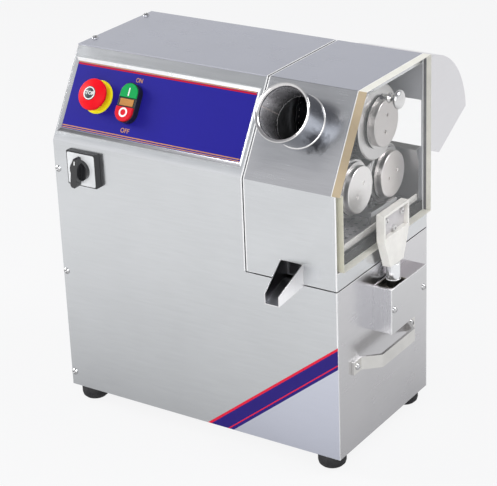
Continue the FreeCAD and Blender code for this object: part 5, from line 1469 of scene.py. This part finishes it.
    def _twin_button(self) -> None:
        """Dress the body and its keys, and put the I, the O and the lens on them."""
        across, along = self.twin
        body = self.dresser.copy_of("button_body", BLACK, Slot.BLACK, 0.5, 2)
        upright = SLOPE.outwards()
        crown = SLOPE.spot(across, along, self.twin_top + self.lens_rise)
        self.dresser.paint(body, AMBER, lambda face: (face.center - crown).dot(upright) > 0.0
                           and (face.center - crown).length < self.lens_reach * MM)
        self.dresser.copy_of("on_button", KEY_GREEN, Slot.GREEN, 0.6)
        self.dresser.copy_of("off_button", KEY_RED, Slot.RED, 0.8)
        thickness = self.print_thickness
        bar = Maker.plate("mark_on", rounded_outline(*self.on_bar), (0, 0, thickness * MM))
        place = SLOPE.place(across, along + self.key_reach, self.twin_top + self.on_rise)
        Maker.settle(bar, place)
        self.dresser.mount(bar, WHITE, Slot.WHITE, Body.ON_KEY)
        inner, outer = self.off_ring
        ring = [(inner, 0.0), (inner, thickness), (outer, thickness), (outer, 0.0)]
        place = SLOPE.place(across, along - self.key_reach, self.twin_top + self.off_rise)
        zero = Maker.turned("mark_off", ring, place, RING_STEPS)
        self.dresser.mount(zero, WHITE, Slot.WHITE, Body.OFF_KEY)

    def _rotary_switch(self) -> None:
        """Dress the square body and its knob, and put the pale face plate and the mark on."""
        across, height = self.rotary
        self.dresser.copy_of("rotary_switch_body", BLACK, Slot.BLACK, 1.2)
        self.dresser.copy_of("switch_knob", BLACK_KNOB, Slot.BLACK, 0.9)
        front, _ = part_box("rotary_switch_body")
        knob_front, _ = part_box("switch_knob")
        tilt = Matrix.Rotation(math.radians(self.mark_tilt), 4, "Z")
        reach = Matrix.Translation((0, self.mark_reach * MM, 0))
        for name, outline, thickness, depth, turn, finish, body in (
            ("switch_face", self.face, self.face_thickness, front.y, Matrix(), SILVER_FACE,
             Body.CABINET),
            ("switch_mark", self.mark, self.mark_thickness, knob_front.y, tilt @ reach, WHITE,
             Body.SWITCH_KNOB),
        ):
            place = Matrix.Translation((across * MM, depth, height * MM)) @ FACING_FRONT @ turn
            piece = Maker.plate(name, rounded_outline(*outline), (0, 0, thickness * MM))
            self.dresser.mount(Maker.settle(piece, place), finish, Slot.WHITE, body)


@dataclass
class JuicePath(SubAssembly):
    """The feed tube, spout, tray, strainer, scrapers, chute and hood."""

    tube: Pair = (144.5, 84.5)
    tube_length: float = 49.0
    tube_radius: float = 34.5
    tube_wall: float = 2.0
    lip_radius: float = 38.3
    lip_depth: float = 7.0
    lip_rim: float = 1.4
    lip_steps: int = 8
    tube_steps: int = 96
    weld_bead: tuple[Pair, ...] = ((1.3, 0.0), (1.2, 0.6), (0.8, 1.2))
    weld_height: float = 1.5
    weld_turn: float = 0.11
    side_light_band: Pair = (12.0, 2.0)
    inside_shade_band: Pair = (3.0, 11.0)
    channel_wall: float = 2.0
    channel_half: float = 5.0
    hood_depth: float = 10.0
    hood_wall: float = 1.2
    tray_band: float = 4.0
    tray_edge: Pair = (2.2, 5.2)
    tray_edge_inset: float = 1.0
    tray_edge_sink: float = 0.2
    dark_strip_across: float = 214.02
    dark_strip_depth: Pair = (-108.5, 117.0)
    dark_strip_height: Pair = (266.6, 281.0)
    dark_strip_thickness: float = 0.14

    def build(self) -> None:
        """Make and dress all of it."""
        self._feed_tube()
        self._spout()
        self._hood()
        self._tray()
        self.dresser.copy_of("bagasse_chute", INNER_SHEET, Slot.BRUSHED, 0.3, 2)
        # painted light on the strainer plate
        self.dresser.nodes(STRAINER_SHEET_LIT, "strainer_plate")
        self.dresser.copy_of("roller_scrapers", MACHINED, Slot.BRUSHED, 0.5, 2)
        self._dark_strip()

    def _spout(self) -> None:
        """Dress the spout: painted light on its right side, lighter towards its foot, and painted
        shade in its channel, lighter at the tip.
        """
        spout = self.dresser.copy_of("juice_spout", SPOUT_STEEL, Slot.SATIN, 0.35, 2)
        low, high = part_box("juice_spout")
        middle = (low.x + high.x) / 2
        foot, head = self.side_light_band
        # painted light on the right side, lighter towards the foot
        side = BrushedSteel("spout_side_lit", Axis.Z, (0.60, 0.59, 0.60), 0.2, 0.12,
                            height_light=(low.z + foot * MM, high.z - head * MM, 1.66), metallic=0.2)
        tip, deep = self.inside_shade_band
        # painted shade in the channel, lighter at the tip
        inside = BrushedSteel("spout_inside_shade", Axis.Z, (0.10, 0.10, 0.105), 0.3, 0.1,
                              height_light=(low.z + tip * MM, low.z + deep * MM, 5.0))
        self.dresser.paint(spout, side, lambda face: face.normal.x > STRAIGHT)
        wall, half = self.channel_wall * MM, self.channel_half * MM
        self.dresser.paint(spout, inside,
                           lambda face: (face.center.x - middle) * face.normal.x < -wall
                           or face.normal.z > 0.7 and abs(face.center.x - middle) < half)

    def _hood(self) -> None:
        """Dress the hood, with painted light on its inner faces."""
        hood = self.dresser.copy_of("outlet_hood", HOOD_SHEET, Slot.BRUSHED, 0.5, 2, 30.0)
        low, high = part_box("outlet_hood")
        middle = (low + high) / 2
        inner, depth = high.x - middle.x - self.hood_wall * MM, self.hood_depth * MM
        self.dresser.paint(hood, HOOD_INSIDE_LIT,
                           lambda face: (face.center - middle).dot(face.normal) < -depth
                           or abs(face.center.x - middle.x) < inner
                           and abs(face.normal.x) > STRAIGHT)

    def _tray(self) -> None:
        """Dress the tray with a painted highlight on its right rail, and put the rolled edge there
        in the same highlight.
        """
        tray = self.dresser.copy_of("juice_tray", INNER_SHEET, Slot.BRUSHED, 0.4, 2)
        low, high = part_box("juice_tray")
        Maker.sliced(tray, Axis.Z, high.z / MM - self.tray_band)
        # painted highlight on the tray's top band and right rail
        self.dresser.paint(tray, TRAY_EDGE_HIGHLIGHT,
                           lambda face: face.center.z > high.z - self.tray_band * MM
                           and (face.normal.z > STRAIGHT or face.center.x > high.x - MM))
        (width, rise), inset = self.tray_edge, self.tray_edge_inset
        right, front, back = high.x / MM, low.y / MM + inset, high.y / MM - inset
        lift = high.z / MM - self.tray_edge_sink
        outline = rectangle(right - width, front, right, back, lift)
        rolled = Maker.bevelled(Maker.plate("tray_edge", outline, (0, 0, rise * MM)), 0.8)
        self.dresser.mount(rolled, TRAY_EDGE_HIGHLIGHT, Slot.BRUSHED)

    def _dark_strip(self) -> None:
        """Lay a thin dark strip along the window's foot, in the gap behind the guard, which makes
        that band dark.
        """
        (front, back), (low, high) = self.dark_strip_depth, self.dark_strip_height
        outline = [(self.dark_strip_across * MM, depth * MM, height * MM)
                   for depth, height in ((front, low), (back, low), (back, high), (front, high))]
        strip = Maker.plate("window_dark_strip", outline, (self.dark_strip_thickness * MM, 0, 0))
        self.dresser.mount(strip, RUBBER, Slot.RUBBER)

    def _tube_profile(self) -> list[Pair]:
        """The outline of the tube's wall, with the weld bead at its foot and its trumpet lip.

        Returns:
            (radius, height) corners in millimetres, closed.
        """
        outer, inner = self.tube_radius, self.tube_radius - self.tube_wall
        end, lip, rim = self.tube_length, self.lip_radius, self.lip_rim
        profile = [(inner, 0.0), *((outer + out, rise) for out, rise in self.weld_bead),
                   (outer, self.weld_height)]
        angles = [math.pi / 2 * step / self.lip_steps for step in range(self.lip_steps + 1)]
        base, rise = end - self.lip_depth - 2.0, self.lip_depth + 1.0
        profile += [(outer + (lip - outer) * (1 - math.cos(angle)), base + rise * math.sin(angle))
                    for angle in angles]
        profile += [(lip - 0.2, end - 0.3), (lip - rim / 2, end), (lip - rim, end - 0.1)]
        base, rise, flare = end - self.lip_depth, self.lip_depth - 0.2, lip - rim - inner
        profile += [(inner + flare * (1 - math.cos(angle)), base + rise * math.sin(angle))
                    for angle in reversed(angles)]
        return profile + [(inner, 0.0)]

    def _feed_tube(self) -> None:
        """Turn the feed tube and dress its side, its bore in painted shade, and its weld bead and
        lip in painted highlights.
        """
        outer, inner = self.tube_radius, self.tube_radius - self.tube_wall
        profile, foot = self._tube_profile(), SLOPE.place(*self.tube, 0.0)
        piece = Maker.turned("feed_tube.finished", profile, foot, self.tube_steps, BLUNT)
        self.dresser.mount(piece, TUBE_STEEL, Slot.SATIN)
        axes = foot.inverted()

        def spot(face: Face) -> Pair:
            """A face's distance from the axis and height over the slope, in millimetres."""
            local = axes @ face.center / MM
            return math.hypot(local.x, local.y), local.z

        mouth = SLOPE.spot(*self.tube, self.tube_length - self.lip_depth)
        side = (SLOPE.upwards() * self.weld_turn - Vector((1, 0, 0))).normalized()
        bore = ShadedBore("tube_bore_shaded", tuple(mouth), tuple(SLOPE.outwards()), tuple(side))
        self.dresser.paint(piece, bore, lambda face: spot(face)[0] < inner + 0.2)
        # painted highlights on the weld bead and the lip
        self.dresser.paint(piece, WELD_HIGHLIGHT, lambda face: spot(face)[1] < self.weld_height
                           and spot(face)[0] > outer + 0.2)
        self.dresser.paint(piece, LIP_HIGHLIGHT, lambda face: spot(face)[1] > self.tube_length - 3.0)
        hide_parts("feed_tube")


@dataclass
class RollerSet(SubAssembly):
    """The rollers, their shafts and gears, the plates that carry them and the drive behind."""

    barrel_colour: Colour = (0.66, 0.65, 0.65)
    cap_colour: Colour = (0.64, 0.61, 0.60)

    def build(self) -> None:
        """Make and dress all of it."""
        # painted light: the lower rollers' caps are painted lighter than the top one's
        for name, light_gain in (("top", 0.95), ("front", 1.48), ("rear", 1.32)):
            self._roller(name, light_gain)
        for finish, nodes in (
            (PLATE_STEEL, ("chamber_plate", "drive_plate", "outboard_plate", "plate_spacers")),
            (MACHINED, ("main_gear", "pinion_shaft", "ball_bearings")),
            (CAST_PULLEY, ("large_pulley", "motor_pulley")),
            (BELT, ("drive_belt",)),
            (MOTOR_PAINT, ("motor_housing",)),
            (CAST_ALUMINIUM, ("reducer_housing",)),
            (INNER_SHEET, ("motor_mount",)),
            (BLACK, ("contactor",)),
        ):
            self.dresser.nodes(finish, *nodes)

    def _roller(self, name: str, light_gain: float) -> None:
        """Dress a roller with its cap, shaft and gear.

        Args:
            name: which of the three it is.
            light_gain: how much lighter its cap is painted, a painted light that differs between
                the rollers.
        """
        low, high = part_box(f"{name}_shaft")
        centre = ((low.y + high.y) / 2, (low.z + high.z) / 2)
        barrel = TurnedSteel(f"{name}_barrel", centre, self.barrel_colour, 0.34)
        cap = TurnedSteel(f"{name}_cap", centre, shade(self.cap_colour, light_gain), 0.32, 0.4 * MM)
        roller = self.dresser.copy_of(f"{name}_roller", barrel, Slot.ROLLER, 0.3, 2)
        # painted shade on the barrel's round face
        self.dresser.paint(roller, BARREL_SHADE, lambda face: abs(face.normal.x) < 0.3)
        self.dresser.copy_of(f"{name}_roller_cap", cap, Slot.ROLLER, 0.4, 2)
        self.dresser.nodes(MACHINED, f"{name}_shaft", f"{name}_roller_gear")


@dataclass
class Guard(SubAssembly):
    """The clear guard with its knob, bracket and post, and the interlock box they work."""

    knob: Pair = (6.0, 461.0)
    knob_face: float = 226.0
    knob_hole: float = 8.0
    knob_foot: tuple[Pair, ...] = (
        (0.0, -10.7), (3.9, -10.7), (3.9, 0.0), (6.6, 0.0), (6.6, 1.2), (5.2, 2.6), (4.6, 4.5),
        (4.7, 7.0), (6.4, 8.8),
    )
    knob_crown: Pair = (12.5, 6.0)
    knob_middle: float = 14.0
    knob_sweep: Pair = (-60.0, 90.0)
    knob_steps: int = 12
    edge_start: float = 218.8
    box_inset: float = 1.0
    box_edge: float = 1.5
    post_clear: float = 0.6
    ring: Pair = (0.45, 1.6)
    ring_root: float = 0.2
    ring_steps: int = 6

    def build(self) -> None:
        """Make and dress all of it."""
        self._plate()
        self._knob()
        block = self.dresser.copy_of("interlock_bracket", CLEAR_BLOCK, Slot.CLEAR, 0.8)
        _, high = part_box("interlock_bracket")
        # painted shade in the block's pocket
        self.dresser.paint(block, BLOCK_POCKET_SHADE, lambda face: face.normal.x > STRAIGHT
                           and face.center.x < high.x - MM)
        post = self.dresser.copy_of("interlock_post", POST_STEEL, Slot.CHROME, 0.5)
        _, box_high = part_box("interlock_box")
        # painted shadow on the post where it sinks into the slot
        Maker.sliced(post, Axis.Z, box_high.z / MM + self.post_clear)
        self.dresser.paint(post, POST_SHADOW,
                           lambda face: face.center.z < box_high.z + self.post_clear * MM)
        self.dresser.nodes(CHROME, "bracket_screws")
        self._box()
        self._ring()
        self.dresser.nodes(WHITE, "switch_plunger")

    def _plate(self) -> None:
        """Dress the clear plate: its opaque edges are partly the edge's own pale tint and partly
        painted light and shade, a tone for each way they face.
        """
        plate = self.dresser.copy_of("guard_plate", GUARD_FACE, Slot.CLEAR, 0.8)
        Maker.sliced(plate, Axis.X, self.edge_start)
        knob = Vector(self.knob) * MM
        self.dresser.paint(plate, GUARD_EDGE_LIT, lambda face: abs(face.normal.x) < STRAIGHT
                           and (face.center.yz - knob).length > self.knob_hole * MM)
        self.dresser.paint(plate, GUARD_BACK_EDGE_SHADE,
                           lambda face: face.center.x < self.edge_start * MM
                           and face.normal.y > 0.7 and abs(face.normal.x) < STRAIGHT)
        self.dresser.paint(plate, GUARD_FRONT_EDGE_SHADE, lambda face: face.normal.y < -STRAIGHT)
        self.dresser.paint(plate, GUARD_SLOPE_EDGE_SHADE,
                           lambda face: face.normal.y < -0.6 and face.normal.z > 0.3)

    def _box(self) -> None:
        """Dress the interlock box in painted light and shade: highlights on its edges, a lighter
        front, a darker top and a dull painted shade inside.
        """
        box = self.dresser.copy_of("interlock_box", BOX_SHEET, Slot.BRUSHED, 1.0, edge=SHEET_EDGE_HIGHLIGHT)
        low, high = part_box("interlock_box")
        inset, edge = self.box_inset * MM, self.box_edge * MM
        Maker.sliced(box, Axis.Y, low.y / MM + self.box_edge)
        Maker.sliced(box, Axis.X, high.x / MM - self.box_edge)

        def on_top(face: Face) -> bool:
            """Whether a face lies on the box's top."""
            return face.normal.z > STRAIGHT and face.center.z > high.z - inset

        def on_front(face: Face) -> bool:
            """Whether a face lies on the box's front."""
            return face.normal.y < -STRAIGHT and face.center.y < low.y + inset

        def within(face: Face) -> bool:
            """Whether a face lies inside the box."""
            return (low.x - inset < face.center.x < high.x - inset
                    and low.y + inset < face.center.y < high.y - inset
                    and low.z + inset < face.center.z < high.z - inset)

        def on_edge(face: Face) -> bool:
            """Whether a face lies along the box's front or right edge."""
            right, front = face.center.x > high.x - edge, face.center.y < low.y + edge
            return on_top(face) and (front or right) or on_front(face) and right

        # painted tones by side, painted shade inside, painted highlight on the edges
        for finish, test in ((BOX_TOP_SHADED, on_top), (BOX_FRONT_LIT, on_front), (BOX_INSIDE_SHADE, within),
                             (SHEET_EDGE_HIGHLIGHT, on_edge)):
            self.dresser.paint(box, finish, test)

    def _ring(self) -> None:
        """Turn the ring on the post where it enters the slot, dressed in the painted highlight."""
        low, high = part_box("interlock_post")
        _, box_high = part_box("interlock_box")
        root = (high.x - low.x) / 2 / MM - self.ring_root
        bulge, tall = self.ring
        shares = [step / self.ring_steps for step in range(self.ring_steps + 1)]
        profile = [(root, 0.0), *((root + self.ring_root + bulge * math.sin(math.pi * share),
                                   tall * share) for share in shares), (root, tall)]
        middle = (low + high) / 2
        place = Matrix.Translation((middle.x, middle.y, box_high.z + self.post_clear * MM))
        ring = Maker.turned("post_ring", profile, place, RING_STEPS, BLUNT)
        self.dresser.mount(ring, SHEET_EDGE_HIGHLIGHT, Slot.CHROME, Body.GUARD)

    def _knob(self) -> None:
        """Turn the round pull knob with its waist and foot."""
        profile = list(self.knob_foot)
        (radius, tall), (start, end) = self.knob_crown, self.knob_sweep
        for step in range(self.knob_steps + 1):
            angle = math.radians(start + (end - start) * step / self.knob_steps)
            height = self.knob_middle + tall * math.sin(angle)
            profile.append((max(radius * math.cos(angle), 0.0), height))
        place = Matrix.Translation(Vector((self.knob_face, *self.knob)) * MM) @ FACING_RIGHT
        piece = Maker.turned("guard_knob.finished", profile, place, smooth=BLUNT)
        self.dresser.mount(piece, CHROME, Slot.CHROME, Body.GUARD)
        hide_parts("guard_knob")


# ---------------------------------------------------------------- studio


@dataclass
class Studio:
    """The pale floor, the soft lights, the world and the camera."""

    picture_width: int = 497
    focal_pixels: float = 1825.4
    sensor: float = 36.0
    station: Point = (1.2795, -1.8900, 1.2167)
    yaw: float = 0.5916
    pitch: float = 0.4127
    roll: float = -0.0395
    floor_height: float = -0.021
    floor_size: float = 12.0
    floor_colour: Colour = (0.9, 0.9, 0.905)
    pale: Colour = (0.94, 0.94, 0.945)
    # a painted shadow on the floor, seen only in reflections: its colour, the machine's half
    # footprint in metres and how far it reaches
    reflected_shadow: Colour = (0.42, 0.42, 0.43)
    reflected_shadow_half: Point = (0.22, 0.119, 1.0)
    reflected_shadow_reach: float = 0.6
    daylight: Colour = (0.9, 0.92, 0.95)
    daylight_strength: float = 0.42
    sky: tuple[tuple[float, Colour], ...] = (
        (0.0, (0.93, 0.93, 0.94)),
        (0.2, (0.88, 0.88, 0.89)),
        (0.38, (0.64, 0.65, 0.67)),
        (0.56, (0.66, 0.67, 0.68)),
        (0.75, (0.36, 0.36, 0.38)),
        (1.0, (0.30, 0.30, 0.32)),
    )
    sky_cloud: Grain = Grain(2.6, 3.0, 0.55)
    lamp_aim: Point = (0.0, 0.0, 0.22)
    lamps: tuple[tuple[str, Point, float, float], ...] = (
        ("key_lamp", (-2.2, -0.7, 1.3), 1.3, 40.0),
        ("front_lamp", (1.1, -3.0, 1.6), 2.8, 54.0),
        ("side_lamp", (1.6, 0.6, 2.0), 1.2, 26.0),
    )

    def build(self) -> None:
        """Set up all of it."""
        self._camera()
        self._floor()
        self._world()
        self._lights()
        bpy.context.scene.view_settings.view_transform = "Standard"

    def _camera(self) -> None:
        """Stand the camera at the machine's right front, and look down at it."""
        forward = Vector((
            -math.sin(self.yaw) * math.cos(self.pitch),
            math.cos(self.yaw) * math.cos(self.pitch),
            -math.sin(self.pitch),
        ))
        level = Vector((math.cos(self.yaw), math.sin(self.yaw), 0.0))
        upright = level.cross(forward)
        right = level * math.cos(self.roll) + upright * math.sin(self.roll)
        up = right.cross(forward)
        turn = Matrix((right, up, -forward)).transposed().to_4x4()
        data = bpy.data.cameras.new("camera")
        data.sensor_fit = "HORIZONTAL"
        data.sensor_width = self.sensor
        data.lens = self.focal_pixels * self.sensor / self.picture_width
        camera = bpy.data.objects.new("camera", data)
        camera.matrix_world = Matrix.Translation(self.station) @ turn
        bpy.context.scene.collection.objects.link(camera)
        bpy.context.scene.camera = camera

    def _floor(self) -> None:
        """Lay the pale floor, which shows as the background and keeps a soft shadow; reflections
        see a painted shadow, darker near the machine.
        """
        Maker.rest()
        bpy.ops.mesh.primitive_plane_add(size=self.floor_size, location=(0, 0, self.floor_height))
        floor = bpy.context.object
        floor.name = "floor"
        shader = Shader("floor_paint")
        shader.surface(Base_Color=self.floor_colour, Roughness=0.9, Specular_IOR_Level=0.0)
        seen, glossy, clear = shader.rays()
        beyond = shader.vector("SUBTRACT", shader.vector("ABSOLUTE", shader.place()),
                               self.reflected_shadow_half)
        away = shader.reach(shader.vector("MAXIMUM", beyond, (0, 0, 0)))
        # painted shadow: darker near the machine, for reflections only
        near = 1.0 - away.clamped(0.0, self.reflected_shadow_reach).power(0.5)
        colour = shader.blend(near * glossy, self.pale, self.reflected_shadow)
        glow = shader.node("ShaderNodeEmission", {}, {"Color": colour, "Strength": 1.0})
        share = seen * 0.94 + glossy * 0.9 + clear * 0.9
        principled = Channel(shader, shader.tree.nodes["Principled BSDF"].outputs[0])
        mixed = shader.node("ShaderNodeMixShader", {},
                            {"Fac": share, "Shader": principled, "Shader_001": glow})
        shader.feed(shader.tree.nodes["Material Output"].inputs["Surface"], mixed)
        floor.data.materials.append(shader.material)

    def _world(self) -> None:
        """Make the world near white where it is seen, and dimmer where it lights."""
        world = bpy.data.worlds.new("studio")
        bpy.context.scene.world = world
        world.use_nodes = True
        shader = Shader("studio", world.node_tree)
        seen, glossy, clear = shader.rays()
        direction = shader.node("ShaderNodeTexCoord", output="Generated")
        rise = shader.node("ShaderNodeSeparateXYZ", {}, {"Vector": direction}, "Z")
        height = rise + (shader.noise(self.sky_cloud, direction) - 0.5) * 0.16
        ramp = shader.node("ShaderNodeValToRGB", {"stops": self.sky}, {"Fac": height})
        colour = shader.blend(glossy, self.pale, ramp)
        plain = shader.node("ShaderNodeBackground", {},
                            {"Color": self.daylight, "Strength": self.daylight_strength})
        shown = shader.node("ShaderNodeBackground", {}, {"Color": colour, "Strength": 1.0})
        share = (seen + glossy + clear).clamped(0.0, 1.0)
        mixed = shader.node("ShaderNodeMixShader", {},
                            {"Fac": share, "Shader": plain, "Shader_001": shown})
        output = next(node for node in world.node_tree.nodes if node.type == "OUTPUT_WORLD")
        shader.feed(output.inputs["Surface"], mixed)

    def _lights(self) -> None:
        """Hang three large soft lamps."""
        for name, spot, size, power in self.lamps:
            data = bpy.data.lights.new(name, "AREA")
            data.shape = "DISK"
            data.size = size
            data.energy = power
            lamp = bpy.data.objects.new(name, data)
            aim = (Vector(self.lamp_aim) - Vector(spot)).to_track_quat("-Z", "Y")
            lamp.matrix_world = Matrix.Translation(spot) @ aim.to_matrix().to_4x4()
            bpy.context.scene.collection.objects.link(lamp)


# ---------------------------------------------------------------- the whole


def main() -> None:
    """Build the studio and every sub-assembly in order."""
    logging.basicConfig(level=logging.INFO, format="%(message)s")
    Studio().build()
    dresser = Dresser()
    for kind in (Cabinet, ControlPanel, JuicePath, RollerSet, Guard):
        kind(dresser).build()
        LOG.info("%s finished", kind.__name__)
    Maker.rest()


if __name__ == "__main__":
    main()
